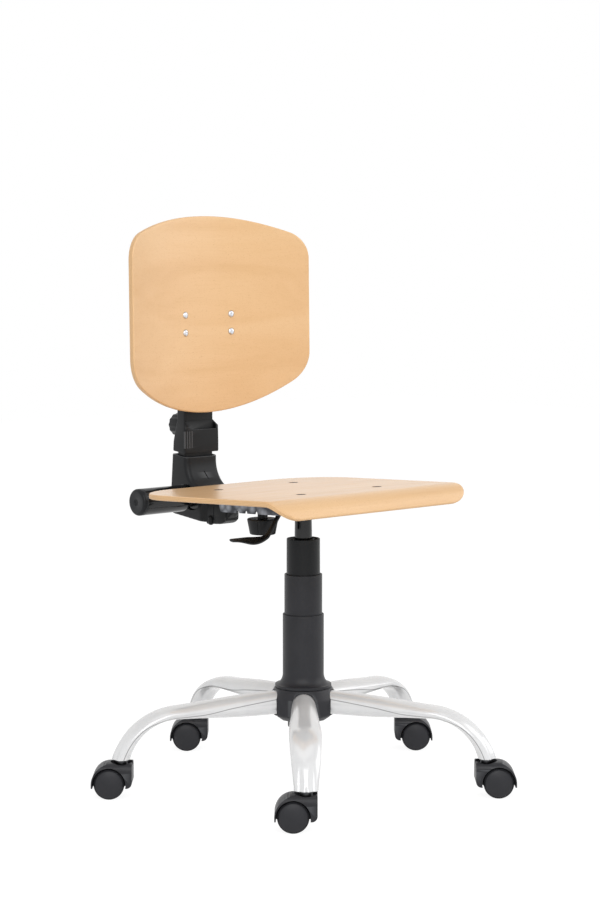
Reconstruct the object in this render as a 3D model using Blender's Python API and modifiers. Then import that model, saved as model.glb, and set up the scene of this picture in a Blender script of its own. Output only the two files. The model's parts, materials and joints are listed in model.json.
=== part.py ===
"""Task chair: bent plywood seat and back, telescopic column, five-arm base, twin-wheel casters.

Metres, +Z up. The origin is on the floor under the column. The chair faces -Y.
"""

import math

import bmesh
import bpy
from mathutils import Matrix, Vector

mm = 0.001
gap = 0.3 * mm
# Longer than anything that is cut
through = 1000 * mm

# How finely round shapes are divided
column_steps = 24
inner_steps = 16
wheel_steps = 18
small_steps = 10
fastener_steps = 8
arm_ring_steps = 12

# Base
arm_count = 5
first_arm_azimuth = math.radians(-40.7)
stem_circle_radius = 300 * mm
arm_root_radius = 26 * mm
arm_root_height = 134.9 * mm
bend_inset = 87 * mm
bend_start_height = 130 * mm
bend_radius = 96 * mm
bend_end_slope = math.radians(70)
arm_end_height = 67 * mm
arm_wall = 2 * mm
# How far along the straight part or the bend, then the section's width and thickness
straight_sections = (
    (0.00, 30 * mm, 38 * mm),
    (0.50, 33 * mm, 36 * mm),
    (0.72, 36 * mm, 30 * mm),
    (0.88, 39.5 * mm, 24.5 * mm),
    (1.00, 43 * mm, 20.5 * mm),
)
bend_sections = (
    (0.25, 47 * mm, 18.5 * mm),
    (0.50, 48 * mm, 19 * mm),
    (0.75, 44.5 * mm, 22 * mm),
    (1.00, 38 * mm, 27 * mm),
)
arm_hollow_count = 6
hub_ring_radius = 33.6 * mm
hub_ring_bottom = 112.5 * mm
hub_ring_top = 152.5 * mm
hub_radius = 42 * mm
hub_wall = 5 * mm
hub_bottom = 107.5 * mm
hub_top = 157 * mm
hub_deck = 3.5 * mm
hub_chamfer = 2 * mm
arch_width = 34.4 * mm
arch_top = 155.6 * mm
arch_spring_height = 137 * mm

# Casters, each about its stem with its wheels trailing along +X
wheel_radius = 24 * mm
wheel_inner_face = 4.5 * mm
wheel_tread_end = 17 * mm
wheel_outer_face = 25.5 * mm
axle_radius = 4 * mm
axle_end = 18 * mm
trail = 19 * mm
hood_half_width = 23 * mm
hood_reach = 28 * mm
hood_top = 57 * mm
hood_top_set_back = 6 * mm
hood_crown_half_width = 11 * mm
hood_shoulder = 43 * mm
hood_inner_radius = 26.2 * mm
hood_edge_height = 18.5 * mm
hood_wall_from_wheel = 36 * mm
hood_chamfer = 2 * mm
hood_toe_radius = 9 * mm
web_half_width = 4 * mm
stem_radius = 5.5 * mm
stem_bottom = 46.5 * mm
stem_top = 82.5 * mm
stem_collar_radius = 10 * mm
stem_recess_radius = 13 * mm
stem_recess_depth = 2.5 * mm
heading_rearward = math.radians(138.5)
heading_forward = heading_rearward - math.pi
# The way each caster trails, arm by arm
caster_headings = (
    heading_rearward,
    heading_forward,
    heading_forward,
    heading_rearward,
    heading_rearward,
)

# Seat, in its own tilted frame: top surface at 0, column at 0, 0
seat_height = 475.5 * mm
seat_tilt = math.radians(2.85)
seat_half_width = 200 * mm
seat_rear = 203 * mm
seat_bend_start = -138 * mm
seat_bend_radius = 40.5 * mm
seat_bend_angle = math.radians(73)
seat_bend_steps = 6
seat_thickness = 8.5 * mm
seat_rear_corner = 93 * mm
seat_front_corner = 41 * mm
board_edge = 2 * mm
trim_margin = 20 * mm
bolt_spacing_x = 160 * mm
bolt_spacing_y = 200 * mm
bolt_centre_y = 14.7 * mm
bolt_head_radius = 8 * mm
bolt_head_height = 1.6 * mm
bolt_recess = 2.2 * mm
bolt_radius = 4 * mm
nut_radius = 6.5 * mm
nut_height = 7 * mm
plate_half_width = 94 * mm
plate_front = -103 * mm
plate_rear = 132 * mm
plate_thickness = 2.5 * mm
plate_flange = 25 * mm
plate_flange_front = -60 * mm
plate_flange_rear = 95 * mm
plate_tongue_half_width = 27 * mm
plate_tongue_overlap = 33 * mm
plate_waist = 12 * mm
notch_width = 7 * mm
notch_height = 4.5 * mm
notch_places = (7 * mm, 32 * mm, 52 * mm)

# Column
lift_tube_radius = 25 * mm
lift_tube_wall = 2.2 * mm
lift_tube_bottom = 92 * mm
lift_tube_top = 320 * mm
lift_tube_floor = 4 * mm
gas_radius = 14 * mm
gas_tip_radius = 13.2 * mm
gas_below_seat = 29 * mm
gas_taper_length = 41.5 * mm
gas_bottom = 152 * mm
gas_top = seat_height - gas_below_seat
rod_radius = 5 * mm
rod_shoulder = 2.5 * mm
rod_shoulder_height = 5.7 * mm
rod_end_height = 3.7 * mm
rod_top = 300 * mm
rod_headroom = 50 * mm
bearing_height = 8 * mm
bearing_radius = 12.5 * mm
bush_bottom = 245 * mm
bush_flange = 4 * mm
valve_radius = 3 * mm
valve_reach = 6 * mm
valve_length = 9.3 * mm
valve_hole_depth = 8 * mm
socket_radius = 20.5 * mm
socket_length = 30.8 * mm
socket_chamfer = 1 * mm
cover_wall = 1.4 * mm
cover_lip = 2 * mm
cover_upper_radius = 27 * mm
cover_upper_below_seat = 79.5 * mm
cover_upper_length = 122 * mm
cover_middle_radius = 30.2 * mm
cover_middle_top = 339 * mm
cover_middle_length = 125 * mm
cover_lower_radius = 32.9 * mm
cover_lower_top = 275 * mm
collar_radius = 45 * mm
collar_rim = 4.7 * mm
collar_flare_height = 13 * mm
collar_chamfer = 2 * mm

# Back hinge, measured from its axis, rearward and up
hinge_behind_seat = 52 * mm
hinge_below_seat = 34.5 * mm
hinge_y = seat_rear + hinge_behind_seat
hinge_z = seat_height - hinge_below_seat
tube_radius = 22 * mm
tube_wall = 3 * mm
tube_right_reach = 129 * mm
tube_left_reach = 25 * mm
cap_thickness = 9 * mm
cap_rounding = 5 * mm
cap_dimple_radius = 5 * mm
cap_dimple_depth = 1.5 * mm
cap_plug_length = 15 * mm
hinge_half_width = 23 * mm
nose_half_width = 14.5 * mm
nose_reach = 90 * mm
nose_rounding = 30 * mm
nose_drop = 10 * mm
band_front_reach = 77.5 * mm
band_rear_reach = 33 * mm
band_step = 1.5 * mm
housing_low = (-31 * mm, -40 * mm)
housing_rear = (45 * mm, -32.5 * mm)
heel_middle = (47 * mm, -24.5 * mm)
heel_radius = 8.5 * mm
cheek_rear = (23 * mm, -1 * mm)
cheek_front_reach = 19 * mm
ring_radius = 25 * mm
bar_half_width = 15 * mm
bar_set_back = 15 * mm
bar_thickness = 8 * mm
upright_half_width = 34 * mm
upright_edge = 4 * mm
upright_top = 70.8 * mm
upright_front = 5 * mm
upright_rear = 38 * mm
upright_flare_radius = 46 * mm
upright_flare_height = 59 * mm
upright_flare_degrees = 62
upright_rear_bottom = (43 * mm, 7 * mm)
collar_half_width = 30 * mm
collar_front = 8 * mm
collar_rear = 28 * mm
collar_sunk = 3 * mm
bar_front = hinge_y + bar_set_back
bar_rear = bar_front + bar_thickness

# Back board, leaning about its middle
back_above_seat = 254.5 * mm
back_ahead_of_hinge = 16 * mm
back_lean = math.radians(0.8)
back_curve_radius = 450 * mm
back_thickness = 10.5 * mm
back_half_width = 186 * mm
back_rise = 176.5 * mm
back_drop = 147.5 * mm
back_top_radius = 470 * mm
back_bottom_radius = 300 * mm
back_top_corner = 40 * mm
back_bottom_corner = 60 * mm
back_middle = seat_height + back_above_seat
screw_spacing_x = 100 * mm
screw_spacing_z = 29 * mm
screw_head_radius = 5.5 * mm
screw_head_height = 2.6 * mm
screw_radius = 3 * mm
screw_length = 20 * mm
screw_seat_depth = 0.6 * mm

# Back sleeve, its depths measured from the hinge axis and its heights from the skirt's bottom
skirt_gap = 5.7 * mm
skirt_half_width = 37 * mm
skirt_front = -0.5 * mm
skirt_rear = 33 * mm
skirt_corner = 5 * mm
skirt_flare = 16 * mm
skirt_shoulder = 34.5 * mm
skirt_shoulder_rear_half_width = 30.5 * mm
skirt_hollow_depth = 10 * mm
skirt_hollow_room = 1 * mm
skirt_top = 46.5 * mm
neck_half_width = 28 * mm
neck_front = 7 * mm
neck_rear = 29.5 * mm
neck_corner = 4 * mm
neck_above_middle = 42 * mm
head_half_width = 62 * mm
head_thickness = 13.7 * mm
head_below_middle = 28 * mm
head_above_middle = 32 * mm
head_edge = 1.5 * mm
bar_below_middle = 30 * mm
back_travel = 60 * mm
travel_spare = 4 * mm
pocket_half_width = 24 * mm
pocket_depth = 12 * mm
pocket_width = 2 * mm
skirt_bottom = hinge_z + upright_top + skirt_gap
bar_top = back_middle - bar_below_middle

# Controls
height_knob_above_skirt = 40 * mm
height_knob_radius = 19.5 * mm
height_knob_thickness = 24 * mm
height_knob_neck = 9 * mm
height_knob_neck_radius = 10 * mm
height_knob_lobes = 8
height_knob_groove = 3 * mm
height_stud_radius = 5 * mm
knob_edge = 1.5 * mm
tilt_knob_x = -72 * mm
tilt_knob_y = 15.2 * mm
tilt_knob_below_seat = 44.5 * mm
tilt_knob_thickness = 25 * mm
tilt_knob_top_radius = 24.5 * mm
tilt_knob_bottom_radius = 20.5 * mm
tilt_knob_lobes = 12
tilt_knob_groove = 1.2 * mm
tilt_knob_neck = 10 * mm
tilt_knob_neck_radius = 8 * mm
tilt_stud_radius = 4 * mm
lever_slot_half_width = 8 * mm
lever_slot_front = 12 * mm
lever_slot_depth = 15.4 * mm
lever_pivot_x = -28 * mm
lever_pivot_rise = 8.8 * mm
# Where the lever's middle line runs, up from its pivot, then its width, thickness and twist there
lever_stations = (
    (7 * mm, 0, 0, 9 * mm, 4.6 * mm, 0),
    (-30 * mm, -3 * mm, 0, 9 * mm, 4.6 * mm, 0),
    (-58 * mm, -20 * mm, -2.8 * mm, 7 * mm, 6.5 * mm, 0),
    (-77 * mm, -30 * mm, -12.3 * mm, 7 * mm, 6.5 * mm, 0),
    (-98 * mm, -30 * mm, -40.3 * mm, 8 * mm, 6.5 * mm, -8),
    (-107 * mm, -30 * mm, -46.3 * mm, 13 * mm, 6.5 * mm, -20),
    (-118 * mm, -30 * mm, -48.8 * mm, 19 * mm, 6 * mm, -30),
    (-135 * mm, -30 * mm, -47.8 * mm, 21 * mm, 4.6 * mm, -22),
    (-160 * mm, -30 * mm, -44.8 * mm, 18 * mm, 4 * mm, -8),
    (-173 * mm, -30 * mm, -43.8 * mm, 9 * mm, 3.2 * mm, 0),
)

for old in list(bpy.data.objects):
    bpy.data.objects.remove(old)

parts = bpy.data.collections.new("task_chair")
cutters = bpy.data.collections.new("cutters")
bpy.context.scene.collection.children.link(parts)
bpy.context.scene.collection.children.link(cutters)


def look(name, colour, roughness, metallic=0.0):
    material = bpy.data.materials.new(name)
    material.use_nodes = True
    shader = material.node_tree.nodes["Principled BSDF"]
    shader.inputs["Base Color"].default_value = (*colour, 1)
    shader.inputs["Roughness"].default_value = roughness
    shader.inputs["Metallic"].default_value = metallic
    return material


beech = look("beech", (0.80, 0.56, 0.31), 0.4)
black_plastic = look("black_plastic", (0.035, 0.036, 0.04), 0.55)
chrome = look("chrome", (0.85, 0.86, 0.87), 0.08, 1)
zinc = look("zinc", (0.62, 0.64, 0.67), 0.35, 1)
steel = look("steel", (0.30, 0.31, 0.33), 0.4, 1)
black_steel = look("black_steel", (0.02, 0.02, 0.022), 0.35, 0.6)

# Outlines given across X and up are laid along Y, and those given across Y and up along X
along_y = Matrix(((1, 0, 0, 0), (0, 0, -1, 0), (0, 1, 0, 0), (0, 0, 0, 1)))
along_x = Matrix(((0, 0, 1, 0), (1, 0, 0, 0), (0, 1, 0, 0), (0, 0, 0, 1)))
seat_frame = Matrix.Translation((0, 0, seat_height)) @ Matrix.Rotation(-seat_tilt, 4, "X")
hinge_axis = Vector((0, hinge_y, hinge_z))
hinge_frame = Matrix.Translation(hinge_axis)
back_pivot = Vector((0, hinge_y - back_ahead_of_hinge, back_middle))
back_frame = Matrix.Translation(back_pivot) @ Matrix.Rotation(-back_lean, 4, "X")
slide_origin = Vector((0, bar_front, skirt_bottom))


def finish_mesh(thing):
    """Weld the mesh and turn its faces outward."""
    shape = bmesh.new()
    shape.from_mesh(thing.data)
    bmesh.ops.remove_doubles(shape, verts=shape.verts, dist=0.00001)
    bmesh.ops.dissolve_degenerate(shape, edges=shape.edges, dist=0.00001)
    bmesh.ops.recalc_face_normals(shape, faces=shape.faces)
    shape.to_mesh(thing.data)
    shape.free()


def evaluated_mesh(thing):
    bpy.context.view_layer.update()
    evaluated = thing.evaluated_get(bpy.context.evaluated_depsgraph_get())
    return bpy.data.meshes.new_from_object(evaluated)


def bake(thing):
    """Replace the object's mesh with what its modifiers make of it."""
    mesh = evaluated_mesh(thing)
    thing.modifiers.clear()
    thing.data = mesh
    finish_mesh(thing)
    return thing


def new_object(name, data, material=None):
    """A part if it has a material, else a cutter."""
    thing = bpy.data.objects.new(name, data)
    if material:
        parts.objects.link(thing)
        data.materials.append(material)
    else:
        cutters.objects.link(thing)
        thing.hide_render = True
        thing.display_type = "WIRE"
    return thing


def place(thing, matrix):
    thing.data.transform(matrix)
    return thing


def set_origin(thing, origin):
    """Put the object's origin on its joint axis without moving its shape."""
    place(thing, Matrix.Translation(-Vector(origin)))
    thing.location = origin
    return thing


def copy_part(thing, name):
    """Another object of the same mesh."""
    copy = thing.copy()
    copy.name = name
    parts.objects.link(copy)
    return copy


def combine(thing, other, operation):
    boolean = thing.modifiers.new("Combine", "BOOLEAN")
    boolean.operation = operation
    boolean.solver = "EXACT"
    boolean.object = other
    bake(thing)
    bpy.data.objects.remove(other)
    return thing


def cut(thing, cutter):
    return combine(thing, cutter, "DIFFERENCE")


def join(thing, other):
    return combine(thing, other, "UNION")


def trim(thing, other):
    return combine(thing, other, "INTERSECT")


def soften(thing, width, segments=2, angle=40):
    bevel = thing.modifiers.new("Soften", "BEVEL")
    bevel.width = width
    bevel.segments = segments
    bevel.limit_method = "ANGLE"
    bevel.angle_limit = math.radians(angle)
    return bake(thing)


def turned(name, profile, material=None, steps=column_steps, ring=True):
    """A profile of radius and height turned about Z; a ring's profile closes on itself."""
    points = [(radius, 0, height) for radius, height in profile]
    edges = [(i, i + 1) for i in range(len(points) - 1)]
    if ring:
        edges.append((len(points) - 1, 0))
    mesh = bpy.data.meshes.new(name)
    mesh.from_pydata(points, edges, [])
    thing = new_object(name, mesh, material)
    screw = thing.modifiers.new("Turn", "SCREW")
    screw.steps = steps
    screw.render_steps = steps
    screw.use_merge_vertices = True
    screw.merge_threshold = 0.00001
    screw.use_normal_calculate = True
    return bake(thing)


def prism(name, outline, low, high, material=None):
    """A closed outline across X and Y, filled and raised from low to high."""
    curve = bpy.data.curves.new(name, "CURVE")
    curve.dimensions = "2D"
    curve.fill_mode = "BOTH"
    curve.extrude = (high - low) / 2
    spline = curve.splines.new("POLY")
    spline.points.add(len(outline) - 1)
    for point, (x, y) in zip(spline.points, outline):
        point.co = (x, y, 0, 1)
    spline.use_cyclic_u = True
    drawn = new_object(name, curve)
    mesh = evaluated_mesh(drawn)
    bpy.data.objects.remove(drawn)
    thing = new_object(name, mesh, material)
    place(thing, Matrix.Translation((0, 0, (low + high) / 2)))
    finish_mesh(thing)
    shape = bmesh.new()
    shape.from_mesh(mesh)
    bmesh.ops.dissolve_limit(shape, angle_limit=math.radians(0.1), verts=shape.verts, edges=shape.edges)
    shape.to_mesh(mesh)
    shape.free()
    return thing


def block(name, low, high, material=None):
    """A box between two corners."""
    low = Vector(low)
    high = Vector(high)
    size = Matrix.Diagonal((*(high - low), 1))
    shape = bmesh.new()
    bmesh.ops.create_cube(shape, size=1, matrix=Matrix.Translation((low + high) / 2) @ size)
    mesh = bpy.data.meshes.new(name)
    shape.to_mesh(mesh)
    shape.free()
    return new_object(name, mesh, material)


def rod(name, radius, low, high, steps=inner_steps, material=None):
    """A round bar about Z."""
    middle = Matrix.Translation((0, 0, (low + high) / 2))
    shape = bmesh.new()
    bmesh.ops.create_cone(
        shape,
        cap_ends=True,
        segments=steps,
        radius1=radius,
        radius2=radius,
        depth=high - low,
        matrix=middle,
    )
    mesh = bpy.data.meshes.new(name)
    shape.to_mesh(mesh)
    shape.free()
    return new_object(name, mesh, material)


def loft(name, rings, material=None):
    """A skin over rings of points, closed at both ends."""
    shape = bmesh.new()
    loops = [[shape.verts.new(point) for point in ring] for ring in rings]
    count = len(rings[0])
    for lower, upper in zip(loops, loops[1:]):
        for i in range(count):
            j = (i + 1) % count
            shape.faces.new((lower[i], lower[j], upper[j], upper[i]))
    shape.faces.new(loops[0])
    shape.faces.new(loops[-1])
    mesh = bpy.data.meshes.new(name)
    shape.to_mesh(mesh)
    shape.free()
    thing = new_object(name, mesh, material)
    finish_mesh(thing)
    return thing


def arc(centre_x, centre_y, radius, start, end, steps, radius_y=None):
    """Points on a round or oval arc, angles in degrees."""
    tall = radius if radius_y is None else radius_y
    points = []
    for i in range(steps + 1):
        angle = math.radians(start + (end - start) * i / steps)
        points.append((centre_x + radius * math.cos(angle), centre_y + tall * math.sin(angle)))
    return points


def mirrored(half):
    """A half outline at +X, then the same at -X."""
    return half + [(-x, y) for x, y in reversed(half)]


def rounded_rectangle(half_width, low, high, low_corner, high_corner, steps=5, high_half_width=None):
    """Corner to corner, its far side as wide as its near one unless given."""
    far_half_width = half_width if high_half_width is None else high_half_width
    half = arc(half_width - low_corner, low + low_corner, low_corner, -90, 0, steps)
    half += arc(far_half_width - high_corner, high - high_corner, high_corner, 0, 90, steps)
    return mirrored(half)


def lobed(radius, lobes, depth, points_per_lobe):
    """A round outline with shallow lobes for grip."""
    count = lobes * points_per_lobe
    outline = []
    for i in range(count):
        angle = 2 * math.pi * i / count
        reach = radius - depth * (0.5 - 0.5 * math.cos(lobes * angle))
        outline.append((reach * math.cos(angle), reach * math.sin(angle)))
    return outline


def arm_azimuth(index):
    return first_arm_azimuth + 2 * math.pi * index / arm_count


def arm_turn(index):
    """How far an arm drawn along +X turns about Z."""
    return arm_azimuth(index) - math.pi / 2


def stem_place(index):
    azimuth = arm_azimuth(index)
    return Vector((math.sin(azimuth), -math.cos(azimuth), 0)) * stem_circle_radius


def arm_rings(inset, count, steps):
    """Oval rings along an arm's straight part and its bend."""
    drop = bend_start_height - arm_root_height
    bend_start_radius = stem_circle_radius - bend_inset
    root_slope = math.atan2(-drop, bend_start_radius - arm_root_radius)
    stations = []
    for share, width, thickness in straight_sections:
        radius = arm_root_radius + share * (bend_start_radius - arm_root_radius)
        stations.append((radius, arm_root_height + share * drop, root_slope, width, thickness))
    for share, width, thickness in bend_sections:
        slope = root_slope + share * (bend_end_slope - root_slope)
        radius = bend_start_radius + bend_radius * (math.sin(slope) - math.sin(root_slope))
        height = bend_start_height - bend_radius * (math.cos(root_slope) - math.cos(slope))
        stations.append((radius, height, slope, width, thickness))
    radius, height, slope, width, thickness = stations[-1]
    past_end = thickness / 2
    end_radius = radius + past_end * math.cos(slope)
    end_height = height - past_end * math.sin(slope)
    stations.append((end_radius, end_height, slope, width, thickness))
    rings = []
    for radius, height, slope, width, thickness in stations[:count]:
        ring = []
        for across, up in arc(0, 0, width / 2 - inset, 0, 360, steps, thickness / 2 - inset)[:-1]:
            ring.append((radius + up * math.sin(slope), across, height + up * math.cos(slope)))
        rings.append(ring)
    return rings


def build_arms():
    """A pressed tube arm: tall at the hub, flat through the bend, rounded over the caster's stem."""
    arm = loft("arm_1", arm_rings(0, None, arm_ring_steps), chrome)
    below = block("below", (arm_root_radius, -through, -through), (through, through, arm_end_height))
    cut(arm, below)
    cut(arm, loft("hollow", arm_rings(arm_wall, arm_hollow_count, fastener_steps)))
    cut(arm, rod("fish_mouth", hub_ring_radius + gap, 0, through, column_steps))
    socket = rod("socket", stem_radius + gap, 0, stem_top + gap, small_steps)
    cut(arm, place(socket, Matrix.Translation((stem_circle_radius, 0, 0))))
    for index in range(arm_count):
        turned_arm = arm if index == 0 else copy_part(arm, f"arm_{index + 1}")
        turned_arm.rotation_euler.z = arm_turn(index)


def build_hub():
    inner = lift_tube_radius + gap
    ring_profile = (
        (inner, hub_ring_top),
        (hub_ring_radius, hub_ring_top),
        (hub_ring_radius, hub_ring_bottom),
        (inner, hub_ring_bottom),
    )
    turned("hub_ring", ring_profile, steel, inner_steps)
    wall_inside = hub_radius - hub_wall
    cover_profile = (
        (inner, hub_top),
        (hub_radius, hub_top),
        (hub_radius, hub_bottom + hub_chamfer),
        (hub_radius - hub_chamfer, hub_bottom),
        (wall_inside, hub_bottom),
        (wall_inside, hub_top - hub_deck),
        (inner, hub_top - hub_deck),
    )
    cover = turned("hub_cover", cover_profile, black_plastic)
    rise = arch_top - arch_spring_height
    arch = arc(0, arch_spring_height, arch_width / 2, 0, 180, 10, rise)
    arch += [(-arch_width / 2, 0), (arch_width / 2, 0)]
    for index in range(arm_count):
        opening = prism("arch", arch, arm_root_radius, 2 * hub_radius)
        cut(cover, place(opening, Matrix.Rotation(arm_turn(index), 4, "Z") @ along_x))


def hood_side():
    """The housing's side, from the edge behind the wheel over the top to the stem wall."""
    low = hood_edge_height
    drop = low - wheel_radius
    inner_reach = math.sqrt(hood_inner_radius**2 - drop**2)
    inner_angle = math.degrees(math.asin(-drop / hood_inner_radius))
    front = trail - hood_wall_from_wheel
    toe = hood_toe_radius
    outline = [(trail + inner_reach, low), (trail + hood_reach, low)]
    spread = hood_reach + hood_top_set_back
    outline += arc(trail - hood_top_set_back, wheel_radius, spread, 0, 90, 5, hood_top - wheel_radius)
    outline += [(front + hood_chamfer, hood_top), (front, hood_top - hood_chamfer)]
    outline += arc(front + toe, low + toe, toe, 180, 270, 2)
    outline += arc(trail, wheel_radius, hood_inner_radius, 180 + inner_angle, -inner_angle, 9)[:-1]
    return outline


def hood_front():
    """The housing seen along its heading: upright sides, then rounded in to the crown."""
    rounding = hood_half_width - hood_crown_half_width
    half = [(hood_half_width, 0)]
    half += arc(hood_crown_half_width, hood_shoulder, rounding, 0, 90, 3, hood_top - hood_shoulder)
    return mirrored(half)


def build_caster_housing(name):
    wheel_centre = Matrix.Translation((trail, 0, wheel_radius))
    housing = prism(name, hood_side(), -hood_half_width, hood_half_width, black_plastic)
    place(housing, along_y)
    trim(housing, place(prism("front_view", hood_front(), -through, through), along_x))
    web = rod("web", hood_inner_radius + hood_chamfer / 2, -web_half_width, web_half_width, small_steps)
    above_edge = block("above_edge", (-through, -through, hood_edge_height), (through, through, through))
    join(housing, trim(place(web, wheel_centre @ along_y), above_edge))
    axle = rod("axle", axle_radius, -axle_end, axle_end, small_steps)
    join(housing, place(axle, wheel_centre @ along_y))
    cut(housing, rod("stem_bore", stem_radius + gap, stem_bottom - gap, through, small_steps))
    recess_floor = hood_top - stem_recess_depth
    return cut(housing, rod("recess", stem_recess_radius, recess_floor, through, small_steps))


def build_caster_stem(name):
    collar_low = hood_top - stem_recess_depth + gap
    collar_high = arm_end_height - gap
    profile = (
        (0, stem_top),
        (stem_radius, stem_top),
        (stem_radius, collar_high),
        (stem_collar_radius, collar_high),
        (stem_collar_radius, collar_low),
        (stem_radius, collar_low),
        (stem_radius, stem_bottom),
        (0, stem_bottom),
    )
    return turned(name, profile, steel, small_steps, ring=False)


def build_wheel(name):
    """A domed wheel about its own axle, facing -Y, with a corner of its tread at the floor."""
    bore = axle_radius + gap
    dome = arc(0, wheel_tread_end, wheel_radius, 0, 90, 3, wheel_outer_face - wheel_tread_end)
    profile = [(bore, wheel_inner_face), (wheel_radius, wheel_inner_face)] + dome[:-1]
    profile += [(0, wheel_outer_face), (0, axle_end + gap), (bore, axle_end + gap)]
    half_step = Matrix.Rotation(math.pi / wheel_steps, 4, "Z")
    return place(turned(name, profile, black_plastic, wheel_steps), along_y @ half_step)


def build_casters():
    housing = build_caster_housing("caster_1_housing")
    stem = build_caster_stem("caster_1_stem")
    wheel = build_wheel("caster_1_wheel_left")
    for index in range(arm_count):
        name = f"caster_{index + 1}"
        turn = bpy.data.objects.new(name, None)
        parts.objects.link(turn)
        turn.location = stem_place(index)
        turn.rotation_euler.z = caster_headings[index]
        first = index == 0
        pieces = [
            housing if first else copy_part(housing, f"{name}_housing"),
            stem if first else copy_part(stem, f"{name}_stem"),
            wheel if first else copy_part(wheel, f"{name}_wheel_left"),
            copy_part(wheel, f"{name}_wheel_right"),
        ]
        for piece in pieces:
            piece.parent = turn
        for piece, facing in zip(pieces[2:], (0, math.pi)):
            piece.location = (trail, 0, wheel_radius)
            piece.rotation_euler.z = facing


def build_column():
    bore = lift_tube_radius - lift_tube_wall
    floor = lift_tube_bottom + lift_tube_floor
    rod_hole = rod_radius + gap
    tube_profile = (
        (bore, lift_tube_top),
        (lift_tube_radius, lift_tube_top),
        (lift_tube_radius, lift_tube_bottom),
        (rod_hole, lift_tube_bottom),
        (rod_hole, floor),
        (bore, floor),
    )
    turned("lift_tube", tube_profile, black_steel, inner_steps)
    flange_low = lift_tube_top + gap
    gas_hole = gas_radius + gap
    bush_profile = (
        (gas_hole, flange_low + bush_flange),
        (lift_tube_radius, flange_low + bush_flange),
        (lift_tube_radius, flange_low),
        (bore - gap, flange_low),
        (bore - gap, bush_bottom),
        (gas_hole, bush_bottom),
    )
    turned("guide_bush", bush_profile, black_plastic, inner_steps)
    bearing_low = floor + gap
    bearing_high = bearing_low + bearing_height
    bearing_profile = (
        (rod_hole, bearing_high),
        (bearing_radius, bearing_high),
        (bearing_radius, bearing_low),
        (rod_hole, bearing_low),
    )
    turned("thrust_bearing", bearing_profile, steel, inner_steps)
    shoulder = rod_radius + rod_shoulder
    shoulder_low = bearing_high + gap
    end_high = lift_tube_bottom - gap
    rod_profile = (
        (0, rod_top),
        (rod_radius, rod_top),
        (rod_radius, shoulder_low + rod_shoulder_height),
        (shoulder, shoulder_low + rod_shoulder_height),
        (shoulder, shoulder_low),
        (rod_radius, shoulder_low),
        (rod_radius, end_high),
        (shoulder, end_high),
        (shoulder, end_high - rod_end_height),
        (0, end_high - rod_end_height),
    )
    turned("piston_rod", rod_profile, steel, small_steps, ring=False)
    valve_hole = valve_radius + gap
    gas_profile = (
        (0, gas_top - valve_hole_depth),
        (valve_hole, gas_top - valve_hole_depth),
        (valve_hole, gas_top),
        (gas_tip_radius, gas_top),
        (gas_radius, gas_top - gas_taper_length),
        (gas_radius, gas_bottom),
        (rod_hole, gas_bottom),
        (rod_hole, rod_top + rod_headroom),
        (0, rod_top + rod_headroom),
    )
    turned("gas_cylinder", gas_profile, black_steel, inner_steps, ring=False)
    valve_top = gas_top + valve_reach
    rod("valve_pin", valve_radius, valve_top - valve_length, valve_top, small_steps, steel)


def cover_stage(name, radius, top, length, neck):
    """One telescopic sleeve, with an inward lip at its top that guides the next."""
    bore = radius - cover_wall
    profile = (
        (neck, top),
        (radius, top),
        (radius, top - length),
        (bore, top - length),
        (bore, top - cover_lip),
        (neck, top - cover_lip),
    )
    return turned(name, profile, black_plastic)


def build_covers():
    upper_top = seat_height - cover_upper_below_seat
    cover_stage("cover_upper", cover_upper_radius, upper_top, cover_upper_length, gas_radius + gap)
    middle_neck = cover_upper_radius + gap
    cover_stage("cover_middle", cover_middle_radius, cover_middle_top, cover_middle_length, middle_neck)
    bore = cover_lower_radius - cover_wall
    neck = cover_middle_radius + gap
    low = hub_top + gap
    rim = low + collar_rim
    flare_out = collar_radius - cover_lower_radius
    flare_top = rim + collar_flare_height
    flare = arc(collar_radius, flare_top, flare_out, 180, 270, 3, collar_flare_height)
    profile = [(neck, cover_lower_top), (cover_lower_radius, cover_lower_top)] + flare
    profile += [(collar_radius, low + collar_chamfer), (collar_radius - collar_chamfer, low), (bore, low)]
    profile += [(bore, cover_lower_top - cover_lip), (neck, cover_lower_top - cover_lip)]
    turned("cover_lower", profile, black_plastic)


def bolt_places():
    places = []
    for y in (bolt_centre_y - bolt_spacing_y / 2, bolt_centre_y + bolt_spacing_y / 2):
        for x in (-bolt_spacing_x / 2, bolt_spacing_x / 2):
            places.append(Matrix.Translation((x, y, 0)))
    return places


def bolt_hole(spot):
    return place(rod("hole", bolt_radius + gap, -through, through, fastener_steps), spot)


def bend_front(board):
    """Score the flat board across its front and fold it down at each line."""
    fold = seat_bend_angle / seat_bend_steps
    strip = seat_bend_radius * fold
    shape = bmesh.new()
    shape.from_mesh(board.data)
    for i in range(seat_bend_steps):
        everything = shape.verts[:] + shape.edges[:] + shape.faces[:]
        line = (0, seat_bend_start - i * strip, 0)
        bmesh.ops.bisect_plane(shape, geom=everything, dist=0.00001, plane_co=line, plane_no=(0, 1, 0))
    for vertex in shape.verts:
        strips = (seat_bend_start - vertex.co.y) / strip
        if strips > 0:
            whole = min(math.floor(strips), seat_bend_steps - 1)
            reach = seat_bend_radius + vertex.co.z
            near = Vector((0, -math.sin(whole * fold), math.cos(whole * fold)))
            far = Vector((0, -math.sin((whole + 1) * fold), math.cos((whole + 1) * fold)))
            spoke = near.lerp(far, strips - whole) * reach
            vertex.co = (vertex.co.x, seat_bend_start + spoke.y, spoke.z - seat_bend_radius)
    shape.to_mesh(board.data)
    shape.free()


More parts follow.
